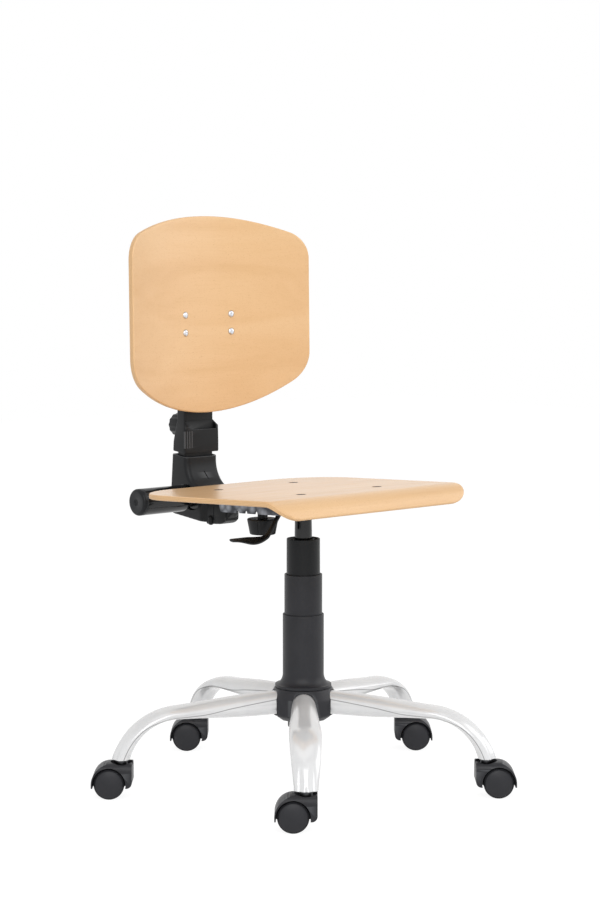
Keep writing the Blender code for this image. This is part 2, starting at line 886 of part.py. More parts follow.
def build_seat_board():
    """A rounded sheet, its front bent down."""
    front = seat_bend_start - seat_bend_radius * seat_bend_angle
    outline = rounded_rectangle(seat_half_width, front, seat_rear, seat_front_corner, seat_rear_corner, 7)
    board = prism("seat_board", outline, -seat_thickness, 0, beech)
    soften(board, board_edge, 1, 50)
    bend_front(board)
    for spot in bolt_places():
        cut(board, bolt_hole(spot))
        recess = rod("recess", bolt_head_radius + 2 * gap, -bolt_recess, through, fastener_steps)
        cut(board, place(recess, spot))
    place(board, seat_frame)


def build_seat_bolts():
    head_low = -bolt_recess + gap
    head_high = head_low + bolt_head_height
    nut_high = -seat_thickness - plate_thickness - 2 * gap
    profile = (
        (0, head_high),
        (bolt_head_radius, head_high),
        (bolt_head_radius, head_low),
        (bolt_radius, head_low),
        (bolt_radius, nut_high),
        (nut_radius, nut_high),
        (nut_radius, nut_high - nut_height),
        (0, nut_high - nut_height),
    )
    for number, spot in enumerate(bolt_places(), 1):
        bolt = turned(f"seat_bolt_{number}", profile, black_steel, fastener_steps, ring=False)
        place(bolt, seat_frame @ spot)


def build_seat_plate():
    """A pressed plate with turned-down, notched sides and a tongue that carries the hinge."""
    top = -seat_thickness - gap
    low = top - plate_thickness
    waist_x = plate_half_width - plate_waist
    tongue_rear = hinge_y - nose_reach + plate_tongue_overlap
    half = [
        (waist_x, plate_front),
        (plate_half_width, plate_front + plate_waist),
        (plate_half_width, plate_rear - plate_waist),
        (waist_x, plate_rear),
        (plate_tongue_half_width + plate_waist, plate_rear),
        (plate_tongue_half_width, plate_rear + plate_waist),
        (plate_tongue_half_width, tongue_rear),
    ]
    plate = prism("seat_plate", mirrored(half), low, top, zinc)
    flange_low = top - plate_flange
    for side in (-1, 1):
        outer = side * plate_half_width
        inner = side * (plate_half_width - plate_thickness)
        near = min(outer, inner)
        far = max(outer, inner)
        flange_high = (far, plate_flange_rear, top - plate_thickness / 2)
        flange = block("flange", (near, plate_flange_front, flange_low), flange_high)
        for middle in notch_places:
            corner = (near - plate_thickness, middle - notch_width / 2, -through)
            opposite = (far + plate_thickness, middle + notch_width / 2, flange_low + notch_height)
            cut(flange, block("notch", corner, opposite))
        join(plate, flange)
    for spot in bolt_places():
        cut(plate, bolt_hole(spot))
    place(plate, seat_frame)
    stud = rod("stud", tilt_stud_radius + gap, 0, through, small_steps)
    cut(plate, place(stud, Matrix.Translation((tilt_knob_x, tilt_knob_y, 0))))


def under_plate(y):
    """How high a piece may reach to seat against the plate's underside."""
    depth = seat_thickness + gap + plate_thickness
    return seat_height - y * math.tan(seat_tilt) - depth / math.cos(seat_tilt) - gap


def build_taper_socket():
    bore = gas_radius + gap
    top = under_plate(socket_radius)
    low = top - socket_length
    profile = (
        (bore, top),
        (socket_radius, top),
        (socket_radius, low + socket_chamfer),
        (socket_radius - socket_chamfer, low),
        (bore, low),
    )
    socket = turned("taper_socket", profile, black_steel)
    slot_low = (-through, -lever_slot_front, top - lever_slot_depth)
    cut(socket, block("lever_slot", slot_low, (0, lever_slot_half_width, through)))


def build_spring_tube():
    bore = tube_radius - tube_wall
    profile = (
        (bore, tube_left_reach),
        (tube_radius, tube_left_reach),
        (tube_radius, -tube_right_reach),
        (bore, -tube_right_reach),
    )
    place(turned("spring_tube", profile, black_steel, column_steps), hinge_frame @ along_x)
    end = gap + cap_thickness
    plug = bore - gap
    rounding = arc(tube_radius - cap_rounding, end - cap_rounding, cap_rounding, 90, 0, 2)
    cap_profile = [(0, end - cap_dimple_depth), (cap_dimple_radius, end)] + rounding
    plug_end = gap - cap_plug_length
    cap_profile += [(tube_radius, gap), (plug, gap), (plug, plug_end), (0, plug_end)]
    for side, turn, x in (("left", 0, tube_left_reach), ("right", math.pi, -tube_right_reach)):
        cap = turned(f"tube_cap_{side}", cap_profile, black_plastic, inner_steps, ring=False)
        facing = Matrix.Rotation(turn, 4, "Z") @ along_x
        place(cap, Matrix.Translation((x, 0, 0)) @ hinge_frame @ facing)


def hinge_side(step):
    """The housing's side: nose, sloping bottom, heel behind the tube, then forward under the plate."""
    side = arc(nose_rounding - nose_reach, -nose_drop, nose_rounding + step, 180, 255, 4)
    side += [(y, z - step) for y, z in (housing_low, housing_rear)]
    side += arc(*heel_middle, heel_radius + step, -60, 60, 3)
    side += [cheek_rear, (0, 0)]
    for y in (-cheek_front_reach, -nose_reach):
        side.append((y, under_plate(hinge_y + y) - hinge_z))
    return side


def hinge_plan(step):
    """The housing from above: wide round the tube, narrow at its rounded nose."""
    reach = nose_half_width + step
    nose = arc(0, nose_half_width - nose_reach, reach, 180, 360, 6)
    spread = hinge_half_width - nose_half_width - band_rear_reach
    half = [(reach, -band_rear_reach), (hinge_half_width, spread), (hinge_half_width, nose_reach)]
    return nose + mirrored(half)


def hinge_solid(name, step, material=None):
    half = hinge_half_width + band_step
    solid = place(prism(name, hinge_side(step), -half, half, material), along_x)
    return trim(solid, prism("plan", hinge_plan(step), -through, through))


def build_hinge_cover():
    cover = hinge_solid("hinge_cover", 0, black_plastic)
    span_low = (-through, -band_front_reach, -through)
    span = block("span", span_low, (through, -band_rear_reach, through))
    join(cover, trim(hinge_solid("band", band_step), span))
    room = bar_half_width + gap
    cut(cover, place(rod("ring_room", ring_radius + 2 * gap, -room, room, column_steps), along_x))
    cut(cover, place(rod("tunnel", tube_radius + gap, -through, through, column_steps), along_x))
    place(cover, hinge_frame)


def bar_room(low, high):
    room = bar_half_width + gap
    return block("bar_room", (-room, bar_front - gap, low), (room, bar_rear + gap, high))


def collar_block(name, room, low, high):
    """The part of the upright cover that stays inside the sleeve's skirt, or the room round it."""
    front = hinge_y + collar_front - room
    rear = hinge_y + collar_rear + room
    reach = collar_half_width + room
    return block(name, (-reach, front, low), (reach, rear, high))


def build_upright():
    bar_low = (-bar_half_width, bar_front, hinge_z)
    bar = block("upright_bar", bar_low, (bar_half_width, bar_rear, bar_top), black_steel)
    ring = rod("ring", ring_radius, -bar_half_width, bar_half_width)
    join(bar, place(ring, hinge_frame @ along_x))
    bore = rod("bore", tube_radius + gap, -through, through, column_steps)
    set_origin(cut(bar, place(bore, hinge_frame @ along_x)), hinge_axis)
    flare_y = upright_front - upright_flare_radius
    outline = [(upright_front, upright_top)]
    outline += arc(flare_y, upright_flare_height, upright_flare_radius, 0, -upright_flare_degrees, 5)
    outline += [upright_rear_bottom, (upright_rear, upright_top)]
    cover = prism("upright_cover", outline, -upright_half_width, upright_half_width, black_plastic)
    soften(place(cover, along_x), upright_edge, 2, 70)
    cut(cover, place(rod("tunnel", tube_radius + 2 * gap, -through, through, column_steps), along_x))
    room = bar_half_width + gap
    cut(cover, place(rod("ring_room", ring_radius + gap, -room, room, column_steps), along_x))
    place(cover, hinge_frame)
    collar_low = hinge_z + upright_top - collar_sunk
    join(cover, collar_block("collar", 0, collar_low, skirt_bottom + collar_sunk))
    set_origin(cut(cover, bar_room(0, through)), hinge_axis)


def back_section(front, rear, half_width, steps):
    """A strip across the back, in the back's frame, bent about an axis in front of it."""
    reach = math.degrees(math.asin(half_width / back_curve_radius))
    strip = arc(0, -back_curve_radius, back_curve_radius + front, 90 + reach, 90 - reach, steps)
    return strip + arc(0, -back_curve_radius, back_curve_radius + rear, 90 - reach, 90 + reach, steps)


def screw_places():
    places = []
    for z in (-screw_spacing_z / 2, screw_spacing_z / 2):
        for x in (-screw_spacing_x / 2, screw_spacing_x / 2):
            turn = Matrix.Rotation(-math.asin(x / back_curve_radius), 4, "Z")
            about = Matrix.Translation((0, -back_curve_radius, z)) @ turn
            places.append(about @ Matrix.Translation((0, back_curve_radius, 0)) @ along_y)
    return places


def build_back_sleeve():
    """A skirt that narrows to a neck over the upright, with a bent head that carries the board."""
    skirt_y = (hinge_y + skirt_front, hinge_y + skirt_rear)
    neck_y = (hinge_y + neck_front, hinge_y + neck_rear)
    skirt = rounded_rectangle(skirt_half_width, *skirt_y, skirt_corner, skirt_corner, 3)
    narrow = skirt_shoulder_rear_half_width
    shoulder = rounded_rectangle(skirt_half_width, *skirt_y, skirt_corner, skirt_corner, 3, narrow)
    neck = rounded_rectangle(neck_half_width, *neck_y, neck_corner, neck_corner, 3)
    shoulder_z = skirt_bottom + skirt_shoulder
    levels = (
        (skirt, skirt_bottom),
        (skirt, skirt_bottom + skirt_flare),
        (shoulder, shoulder_z),
        (neck, skirt_bottom + skirt_top),
        (neck, back_middle + neck_above_middle),
    )
    rings = [[(x, y, z) for x, y in outline] for outline, z in levels]
    sleeve = loft("back_sleeve", rings, black_plastic)
    head_front = back_thickness + gap
    strip = back_section(head_front, head_front + head_thickness, head_half_width, 6)
    head = soften(prism("head", strip, -head_below_middle, head_above_middle), head_edge, 1, 60)
    join(sleeve, place(head, back_frame))
    cut(sleeve, bar_room(0, bar_top + back_travel + travel_spare))
    hollow_top = skirt_bottom + skirt_hollow_depth
    cut(sleeve, collar_block("hollow", skirt_hollow_room, 0, hollow_top))
    pocket_rear = neck_y[0] - gap
    pocket_low = (-pocket_half_width, pocket_rear - pocket_width, shoulder_z - pocket_depth)
    pocket_high = (pocket_half_width, pocket_rear, shoulder_z + 2 * pocket_depth)
    cut(sleeve, block("pocket", pocket_low, pocket_high))
    for spot in screw_places():
        hole = rod("hole", screw_radius + gap, -screw_length - gap, 0, fastener_steps)
        cut(sleeve, place(hole, back_frame @ spot))
    stud = rod("stud", height_stud_radius + gap, -through, 0, small_steps)
    stud_place = Matrix.Translation((0, bar_rear, skirt_bottom + height_knob_above_skirt))
    set_origin(cut(sleeve, place(stud, stud_place @ along_y)), slide_origin)


def back_outline():
    """Half the board's edge from bottom middle to top middle, then the other half."""
    low_centre = back_bottom_radius - back_drop
    low_x = back_half_width - back_bottom_corner
    low_rise = math.sqrt((back_bottom_radius - back_bottom_corner) ** 2 - low_x**2)
    low_angle = math.degrees(math.atan2(-low_rise, low_x))
    high_centre = back_rise - back_top_radius
    high_x = back_half_width - back_top_corner
    high_rise = math.sqrt((back_top_radius - back_top_corner) ** 2 - high_x**2)
    high_angle = math.degrees(math.atan2(high_rise, high_x))
    half = arc(0, low_centre, back_bottom_radius, -90, low_angle, 6)
    half += arc(low_x, low_centre - low_rise, back_bottom_corner, low_angle, 0, 5)[1:]
    half += arc(high_x, high_centre + high_rise, back_top_corner, 0, high_angle, 5)
    half += arc(0, high_centre, back_top_radius, high_angle, 90, 5)[1:]
    return half + [(-x, z) for x, z in reversed(half[1:-1])]


def build_back_board():
    """A sheet bent about an upright axis, trimmed to the rounded outline."""
    strip = back_section(0, back_thickness, back_half_width + trim_margin, 10)
    board = prism("back_board", strip, -back_rise - trim_margin, back_rise + trim_margin, beech)
    outline = prism("outline", back_outline(), -through / 4, through / 4)
    trim(board, place(outline, along_y))
    soften(board, board_edge, 1, 50)
    for spot in screw_places():
        cut(board, place(rod("hole", screw_radius + gap, -through / 4, through / 4, fastener_steps), spot))
        seat = rod("seat", screw_head_radius + 2 * gap, -screw_seat_depth, trim_margin, fastener_steps)
        cut(board, place(seat, spot))
    set_origin(place(board, back_frame), slide_origin)


def build_back_screws():
    low = gap - screw_seat_depth
    high = low + screw_head_height
    dome = arc(0, low, screw_head_radius, 90, 0, 3, high - low)
    profile = dome + [(screw_radius, low), (screw_radius, gap - screw_length), (0, gap - screw_length)]
    for number, spot in enumerate(screw_places(), 1):
        screw = turned(f"back_screw_{number}", profile, zinc, fastener_steps, ring=False)
        set_origin(place(screw, back_frame @ spot), slide_origin)


def build_height_knob():
    """A lobed knob on a neck, with a stud that clamps the upright bar."""
    seat_y = hinge_y + skirt_rear
    front = seat_y + height_knob_neck
    outline = lobed(height_knob_radius, height_knob_lobes, height_knob_groove, 4)
    knob = prism("height_knob", outline, -front - height_knob_thickness, -front, black_plastic)
    soften(knob, knob_edge, 1, 60)
    sunk = front + height_knob_thickness / 4
    join(knob, rod("neck", height_knob_neck_radius, -sunk, -seat_y - gap))
    join(knob, rod("stud", height_stud_radius, -front, -bar_rear - 2 * gap, small_steps))
    axis = Vector((0, seat_y, skirt_bottom + height_knob_above_skirt))
    set_origin(place(knob, Matrix.Translation((0, 0, axis.z)) @ along_y), axis)


def build_tilt_knob():
    """A lobed, tapered knob hanging from the seat plate on its stud."""
    top = seat_height - tilt_knob_below_seat
    bottom = top - tilt_knob_thickness
    levels = (
        (bottom, tilt_knob_bottom_radius - knob_edge),
        (bottom + knob_edge, tilt_knob_bottom_radius),
        (top - knob_edge, tilt_knob_top_radius),
        (top, tilt_knob_top_radius - knob_edge),
    )
    rings = []
    for height, radius in levels:
        outline = lobed(radius, tilt_knob_lobes, tilt_knob_groove, 3)
        rings.append([(x, y, height) for x, y in outline])
    knob = loft("tilt_knob", rings, black_plastic)
    join(knob, rod("neck", tilt_knob_neck_radius, top - tilt_knob_neck / 2, top + tilt_knob_neck))
    stud_top = under_plate(tilt_knob_y) + plate_thickness / 2
    join(knob, rod("stud", tilt_stud_radius, top, stud_top, small_steps))
    spot = Vector((tilt_knob_x, tilt_knob_y, 0))
    set_origin(place(knob, Matrix.Translation(spot)), spot + Vector((0, 0, top)))


def build_lever():
    """A bent flat rod ending in a paddle, lofted square to its path."""
    pivot = Vector((lever_pivot_x, 0, gas_top + lever_pivot_rise))
    spots = [Vector((x, y, pivot.z + z)) for x, y, z, *rest in lever_stations]
    rings = []
    for i, (x, y, z, width, thickness, twist) in enumerate(lever_stations):
        before = spots[max(i - 1, 0)]
        after = spots[min(i + 1, len(spots) - 1)]
        along = (after - before).normalized()
        turn = Matrix.Rotation(math.radians(twist), 3, along)
        up = turn @ along.cross(Vector((0, -1, 0))).normalized()
        across = along.cross(up)
        ring = []
        for a, b in arc(0, 0, width / 2, 0, 360, small_steps, thickness / 2)[:-1]:
            ring.append(spots[i] + across * a + up * b)
        rings.append(ring)
    set_origin(loft("lift_lever", rings, black_plastic), pivot)


build_arms()
build_casters()
build_hub()
build_column()
build_covers()
build_seat_board()
build_seat_bolts()
build_seat_plate()
build_taper_socket()
build_spring_tube()
build_hinge_cover()
build_upright()
build_back_sleeve()
build_back_board()
build_back_screws()
build_height_knob()
build_tilt_knob()
build_lever()

for part in parts.objects:
    if part.type == "MESH":
        part.data.shade_smooth()
        part.data.set_sharp_from_angle(angle=math.radians(40))
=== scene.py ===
"""Looks of the task chair: finished pieces, materials, studio light and the photograph's camera.

Metres, +Z up. The origin is on the floor under the column. The chair faces -Y.
"""

import json
import math

import bmesh
import bpy
from mathutils import Matrix, Vector


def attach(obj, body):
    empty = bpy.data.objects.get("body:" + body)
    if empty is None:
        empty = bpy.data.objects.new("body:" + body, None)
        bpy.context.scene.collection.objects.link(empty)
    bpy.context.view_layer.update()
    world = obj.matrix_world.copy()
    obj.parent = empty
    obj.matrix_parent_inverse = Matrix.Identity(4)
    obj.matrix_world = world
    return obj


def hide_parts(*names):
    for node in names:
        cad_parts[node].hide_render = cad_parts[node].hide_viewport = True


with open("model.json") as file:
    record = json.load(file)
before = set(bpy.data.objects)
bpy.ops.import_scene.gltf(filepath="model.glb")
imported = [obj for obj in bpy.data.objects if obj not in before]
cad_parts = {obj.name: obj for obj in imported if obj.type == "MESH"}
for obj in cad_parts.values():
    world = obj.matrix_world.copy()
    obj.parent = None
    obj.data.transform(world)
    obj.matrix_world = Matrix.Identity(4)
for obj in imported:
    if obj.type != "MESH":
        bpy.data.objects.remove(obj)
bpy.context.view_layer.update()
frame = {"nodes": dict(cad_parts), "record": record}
body_of = {}
for body, members in frame["record"]["behaviour"]["bodies"].items():
    for member in members:
        body_of[member] = body

mm = 0.001
gap = 0.3 * mm
through = 1000 * mm
cut_over = 5 * mm
round_steps = 72
small_round_steps = 40
bore_steps = 64
fine_edge = 0.5 * mm
steel_edge = 0.8 * mm

# Base
arm_count = 5
first_arm_azimuth = math.radians(-40.7)
stem_circle_radius = 300 * mm
arm_start = 34 * mm
arm_root_radius = 26 * mm
arm_root_height = 134.9 * mm
bend_start_radius = 213 * mm
bend_start_height = 128.8 * mm
bend_radius = 96 * mm
bend_end_slope = math.radians(70)
arm_end_height = 61 * mm
# How far along the straight part or the bend, then the section's width and thickness
straight_sections = (
    (0.00, 36 * mm, 38 * mm),
    (0.28, 40.5 * mm, 36.5 * mm),
    (0.50, 43.5 * mm, 33.5 * mm),
    (0.72, 46.5 * mm, 27.5 * mm),
    (0.88, 48.5 * mm, 23 * mm),
    (1.00, 49.5 * mm, 20.5 * mm),
)
bend_sections = (
    (0.25, 49 * mm, 18.5 * mm),
    (0.50, 46.5 * mm, 19 * mm),
    (0.75, 42.5 * mm, 22 * mm),
    (1.00, 37 * mm, 27 * mm),
)
# How far along, then how far the painted shade line on the arm's side is turned up from its middle
straight_shade_line = ((0.00, 30), (0.55, 4), (0.80, -21))
bend_shade_line = ((0.20, -28), (0.52, -3), (1.00, 0))
shade_line_width = 1 * mm
arm_ring_steps = 128
arm_length_steps = 90
flute_offset = 9 * mm
flute_spread = 4.2 * mm
flute_depth = 2.4 * mm
flute_length = 46 * mm
pinch_spread = 1.5 * mm
pinch_depth = 1.8 * mm
pinch_length = 8 * mm
arm_lip = 1.8 * mm
arm_recess = 1.5 * mm
arm_end_edge = 1 * mm
hub_ring_radius = 33.6 * mm
hub_ring_bottom = 112.5 * mm
hub_ring_top = 152.5 * mm
hub_radius = 42 * mm
hub_wall = 5 * mm
hub_bottom = 107.5 * mm
hub_top = 157 * mm
hub_deck = 3.5 * mm
belt_radius = 55 * mm
belt_bottom = 116 * mm
belt_shoulder = 141 * mm
belt_top_radius = 45.5 * mm
belt_foot_radius = 44 * mm
belt_rounding = 3 * mm
belt_top_edge = 0.8 * mm
belt_foot_edge = 1.5 * mm
arm_opening_room = 1.5 * mm
hub_ring_edge = 1 * mm

# Casters, each about its stem with its wheels trailing along +X
wheel_radius = 24 * mm
wheel_inner_face = 4.5 * mm
wheel_tread_end = 17 * mm
wheel_outer_face = 25.5 * mm
wheel_edge = 1.2 * mm
# The fine line round a wheel's face: its first and last angle, then how far in and up from the first
face_line_degrees = (18, 26)
face_line = ((0.5 * mm, -0.5 * mm), (1 * mm, 0.2 * mm))
axle_radius = 4 * mm
axle_end = 18 * mm
trail = 19 * mm
hood_half_width = 23 * mm
hood_reach = 28 * mm
hood_top = 57 * mm
hood_top_set_back = 6 * mm
hood_crown_half_width = 11 * mm
hood_shoulder = 43 * mm
hood_inner_radius = 26.2 * mm
hood_edge_height = 18.5 * mm
hood_wall_from_wheel = 36 * mm
hood_chamfer = 2 * mm
hood_edge = 1.1 * mm
hood_toe_radius = 9 * mm
web_half_width = 4 * mm
stem_radius = 5.5 * mm
stem_bottom = 46.5 * mm
stem_top = 82.5 * mm
stem_foot_edge = 0.6 * mm
stem_collar_radius = 10 * mm
stem_recess_radius = 17.5 * mm
stem_recess_depth = 5.5 * mm
heading_rearward = math.radians(138.5)
heading_forward = heading_rearward - math.pi
caster_headings = (
    heading_rearward,
    heading_forward,
    heading_forward,
    heading_rearward,
    heading_rearward,
)

# Seat, in its own tilted frame: top surface at 0, column at 0, 0
seat_height = 475.5 * mm
seat_tilt = math.radians(2.85)
seat_half_width = 200 * mm
seat_rear = 203 * mm
seat_bend_start = -138 * mm
seat_bend_radius = 40.5 * mm
seat_bend_angle = math.radians(73)
seat_thickness = 8.5 * mm
board_rim = 2.4 * mm
board_spacing = 7 * mm
seat_rear_corner = 93 * mm
seat_front_corner = 41 * mm
bolt_spacing_x = 160 * mm
bolt_spacing_y = 200 * mm
bolt_centre_y = 14.7 * mm
bolt_head_radius = 8 * mm
bolt_head_height = 2 * mm
bolt_head_rim = 0.7 * mm
bolt_head_floor = 0.4 * mm
bolt_recess = 2.4 * mm
bolt_hole_over = 1.2 * mm
bolt_rim_edge = 0.2 * mm
bolt_tip = 1 * mm
bolt_socket_depth = 2 * mm
bolt_radius = 4 * mm
bolt_socket_radius = 2.9 * mm
nut_radius = 6.5 * mm
nut_height = 7 * mm
plate_half_width = 94 * mm
plate_front = -103 * mm
plate_rear = 132 * mm
plate_thickness = 2.5 * mm
plate_flange = 25 * mm
plate_flange_front = -60 * mm
plate_flange_rear = 95 * mm
plate_tongue_half_width = 27 * mm
plate_tongue_rear = 198 * mm
plate_waist = 12 * mm
plate_corner = 5 * mm
tongue_root_corner = 8 * mm
tongue_corner = 6 * mm
flange_corner = 4 * mm
flange_splay = 6 * mm
notch_radius = 3.5 * mm
notch_height = 4.5 * mm
notch_places = (7 * mm, 32 * mm, 52 * mm)
rib_offset = 48 * mm
rib_radius = 5 * mm
rib_half_length = 70 * mm
rib_centre_y = 10 * mm
rib_flatness = 0.5

# Column
lift_tube_radius = 25 * mm
lift_tube_wall = 2.2 * mm
lift_tube_bottom = 92 * mm
lift_tube_top = 320 * mm
lift_tube_floor = 4 * mm
lift_tube_edge = 2 * mm
gas_radius = 14 * mm
gas_tip_radius = 13.2 * mm
gas_bottom = 152 * mm
gas_top = 446.5 * mm
gas_taper_length = 41.5 * mm
gas_edge = 1 * mm
gas_shoulder_edge = 4 * mm
rod_radius = 5 * mm
rod_shoulder = 2.5 * mm
rod_shoulder_height = 5.7 * mm
rod_end_height = 3.7 * mm
rod_top = 300 * mm
rod_headroom = 50 * mm
bearing_height = 8 * mm
bearing_radius = 12.5 * mm
bush_bottom = 245 * mm
bush_flange = 4 * mm
valve_radius = 3 * mm
valve_reach = 6 * mm
valve_length = 9.3 * mm
valve_hole_depth = 8 * mm
socket_radius = 20.5 * mm
socket_length = 30.8 * mm
socket_edge = 1.5 * mm
lever_slot = (12 * mm, 8 * mm, 15.4 * mm)
cover_wall = 1.4 * mm
cover_lip = 2 * mm
cover_edge = 0.9 * mm
cover_chamfer = 0.8 * mm
cover_chamfer_edge = 0.3 * mm
cover_upper_radius = 27 * mm
cover_upper_top = 396 * mm
cover_upper_length = 122 * mm
cover_upper_taper = 0.4 * mm
cover_well = 3 * mm
cover_well_rim = 2.6 * mm
cover_well_slope = 0.6 * mm
finger_count = 16
finger_size = (3.4 * mm, 2.4 * mm, 2 * mm)
finger_from_neck = 1.2 * mm
finger_sunk = 0.5 * mm
finger_edge = 0.4 * mm
cover_middle_radius = 30.2 * mm
cover_middle_top = 339 * mm
cover_middle_length = 125 * mm
cover_lower_radius = 32.9 * mm
cover_lower_top = 275 * mm
collar_radius = 45 * mm
collar_rim = 4.7 * mm
collar_flare_height = 17 * mm
collar_flare_end = 266
collar_lip = 0.5 * mm
collar_top_edge = 0.6 * mm
collar_foot_edge = 1.2 * mm
lift_tube_bore = lift_tube_radius - lift_tube_wall
lift_floor = lift_tube_bottom + lift_tube_floor
rod_hole = rod_radius + gap
gas_hole = gas_radius + gap
bearing_low = lift_floor + gap
bearing_top = bearing_low + bearing_height

# Back hinge, measured from its axis, rearward and up, with the bar measured from the origin
hinge_y = 255 * mm
hinge_z = 441 * mm
tube_radius = 22 * mm
tube_wall = 3 * mm
tube_right_reach = 129 * mm
tube_left_reach = 25 * mm
tube_waist_radius = 16 * mm
tube_waist_inner = -20 * mm
tube_waist_outer = -41 * mm
tube_edge = 0.6 * mm
waist_inner_edge = 3 * mm
waist_outer_edge = 5 * mm
cap_thickness = 9 * mm
cap_rounding = 4.5 * mm
cap_dimple_radius = 5 * mm
cap_dimple_depth = 1.5 * mm
cap_crown = 0.2 * mm
cap_ring_width = 1 * mm
cap_ring_rise = 0.6 * mm
cap_plug_length = 15 * mm
hinge_half_width = 23 * mm
nose_half_width = 14.5 * mm
nose_reach = 90 * mm
nose_rounding = 36 * mm
nose_drop = 3 * mm
nose_taper = 30 * mm
band_front_reach = 77.5 * mm
band_rear_reach = 33 * mm
band_step = 2.5 * mm
band_edge = 1 * mm
boss_place = (16.5 * mm, -43 * mm)
boss_radius = 5 * mm
boss_flatness = 0.8
boss_low = -43.2 * mm
boss_high = -27 * mm
groove_place = -51 * mm
groove_low = -34 * mm
groove_high = -12 * mm
groove_half_width = 0.6 * mm
groove_floor = 0.2 * mm
groove_reach = 3 * mm
moulding_step = 1.2 * mm
moulding_passes = 30
housing_low = (-31 * mm, -40 * mm)
housing_rear = (45 * mm, -32.5 * mm)
heel_middle = (47 * mm, -24.5 * mm)
heel_radius = 8.5 * mm
cheek_rear = (23 * mm, -1 * mm)
cheek_front_reach = 19 * mm
ring_radius = 25 * mm
bar_half_width = 15 * mm
bar_front = 270 * mm
bar_thickness = 8 * mm
bar_top = 700 * mm
bar_room_above = 64 * mm
upright_half_width = 34 * mm
upright_top = 70.8 * mm
upright_front_top = 66.5 * mm
upright_front = -1 * mm
upright_rear = 38 * mm
upright_flare_radius = 46 * mm
upright_flare_height = 59 * mm
upright_flare_angle = math.radians(62)
upright_rear_bottom = (43 * mm, 7 * mm)
collar_half_width = 30 * mm
collar_front = 8 * mm
collar_rear = 28 * mm
collar_corner = 3 * mm
collar_sunk = 3 * mm
upright_front_corner = 9 * mm
upright_rear_corner = 4 * mm
upright_rim = 2.5 * mm
upright_rim_depth = 3 * mm
upright_rim_taper = 0.4 * mm
upright_corner_share = 0.45
upright_steps = 36
# How far up the upright's cover, then how far drawn in
upright_foot_levels = ((0, 2.5 * mm), (0, 1 * mm), (0.012, 0))
upright_top_levels = ((0.985, 0), (1, 0.3 * mm), (1, 0.9 * mm), (1, upright_rim))
slit_place = (3 * mm, 36 * mm)
slit_size = (1.8 * mm, 6 * mm, 15 * mm)
slit_turn = math.radians(-16)

# Back board, leaning about its middle
back_middle = 730 * mm
back_front = 239 * mm
back_lean = math.radians(0.8)
back_curve_radius = 420 * mm
back_thickness = 10.5 * mm
back_half_width = 187.5 * mm
back_rise = 176.5 * mm
back_drop = 147.5 * mm
back_top_radius = 470 * mm
back_bottom_radius = 300 * mm
back_top_corner = 47 * mm
back_bottom_corner = 60 * mm
screw_spacing_x = 97 * mm
screw_spacing_z = 29 * mm
screw_head_radius = 5.5 * mm
screw_head_height = 2.6 * mm
screw_radius = 3 * mm
screw_length = 20 * mm
screw_seat_depth = 0.6 * mm
screw_socket_radius = 1.9 * mm
screw_socket_depth = 1.3 * mm

# Back sleeve
skirt_bottom = 517.5 * mm
skirt_front = 254.5 * mm
skirt_rear = 288 * mm
skirt_corner = 4 * mm
skirt_wall = 3 * mm
skirt_hollow = 10 * mm
skirt_dip = 3 * mm
# Heights above the skirt's bottom, then how far drawn in
skirt_foot_levels = ((0, skirt_wall), (0, 0.6 * mm), (0.7 * mm, 0.1 * mm), (2 * mm, 0))
# Heights, then half widths at the front and at the rear
skirt_levels = (
    (skirt_bottom, 37 * mm, 37 * mm),
    (533 * mm, 37 * mm, 36.2 * mm),
    (552 * mm, 36.5 * mm, 32 * mm),
    (558.5 * mm, 36.2 * mm, 30.5 * mm),
)
neck_low = 568 * mm
neck_half_width = 30.5 * mm
neck_front = 262 * mm
neck_rear = 284.5 * mm
neck_top = 772 * mm
neck_edge = 1.5 * mm
head_half_width = 62 * mm
head_thickness = 13.7 * mm
head_half_height = 30 * mm
head_middle = 2 * mm
head_corner = 9 * mm
head_rim = 2 * mm
head_spacing = 6 * mm
pocket_left = -17 * mm
pocket_right = 30 * mm
pocket_width = 4 * mm
pocket_floor = 540 * mm
front_wall_top = 552.5 * mm
notch_reach = 14 * mm
notch_rise = 13 * mm
rim_bead_radius = 0.9 * mm
grip_rib_places = (-36.2 * mm, -31.5 * mm, -26.5 * mm, -21.5 * mm)
grip_rib_radius = 1.6 * mm
grip_rib_sunk = 1 * mm
grip_rib_low = 523 * mm
grip_rib_high = 551 * mm

# Controls
height_knob_z = 557.5 * mm
height_knob_radius = 20.5 * mm
height_knob_thickness = 24 * mm
height_knob_neck = 9 * mm
height_knob_neck_radius = 10 * mm
height_knob_lobes = 12
height_knob_groove = 1.1 * mm
height_knob_taper = 1 * mm
dish_radius = 11 * mm
dish_floor_radius = 10 * mm
dish_depth = 1.2 * mm
dish_over = 2 * mm
height_stud_radius = 5 * mm
tilt_knob_x = -72 * mm
tilt_knob_y = 15.2 * mm
tilt_knob_top = 432.5 * mm
tilt_knob_thickness = 25 * mm
tilt_knob_top_radius = 24.5 * mm
tilt_knob_bottom_radius = 20.5 * mm
tilt_knob_lobes = 6
tilt_knob_groove = 1.2 * mm
tilt_groove_sharpness = 40
tilt_hollow_wall = 5 * mm
tilt_hollow_depth = 3 * mm
tilt_knob_neck = 10 * mm
tilt_knob_neck_radius = 8 * mm
tilt_stud_radius = 4 * mm
knob_edge = 2 * mm
lever_pivot_z = 455.3 * mm
lever_span_steps = 8
lever_ring_steps = 28
lever_squareness = 0.8
lever_edge = 0.6 * mm
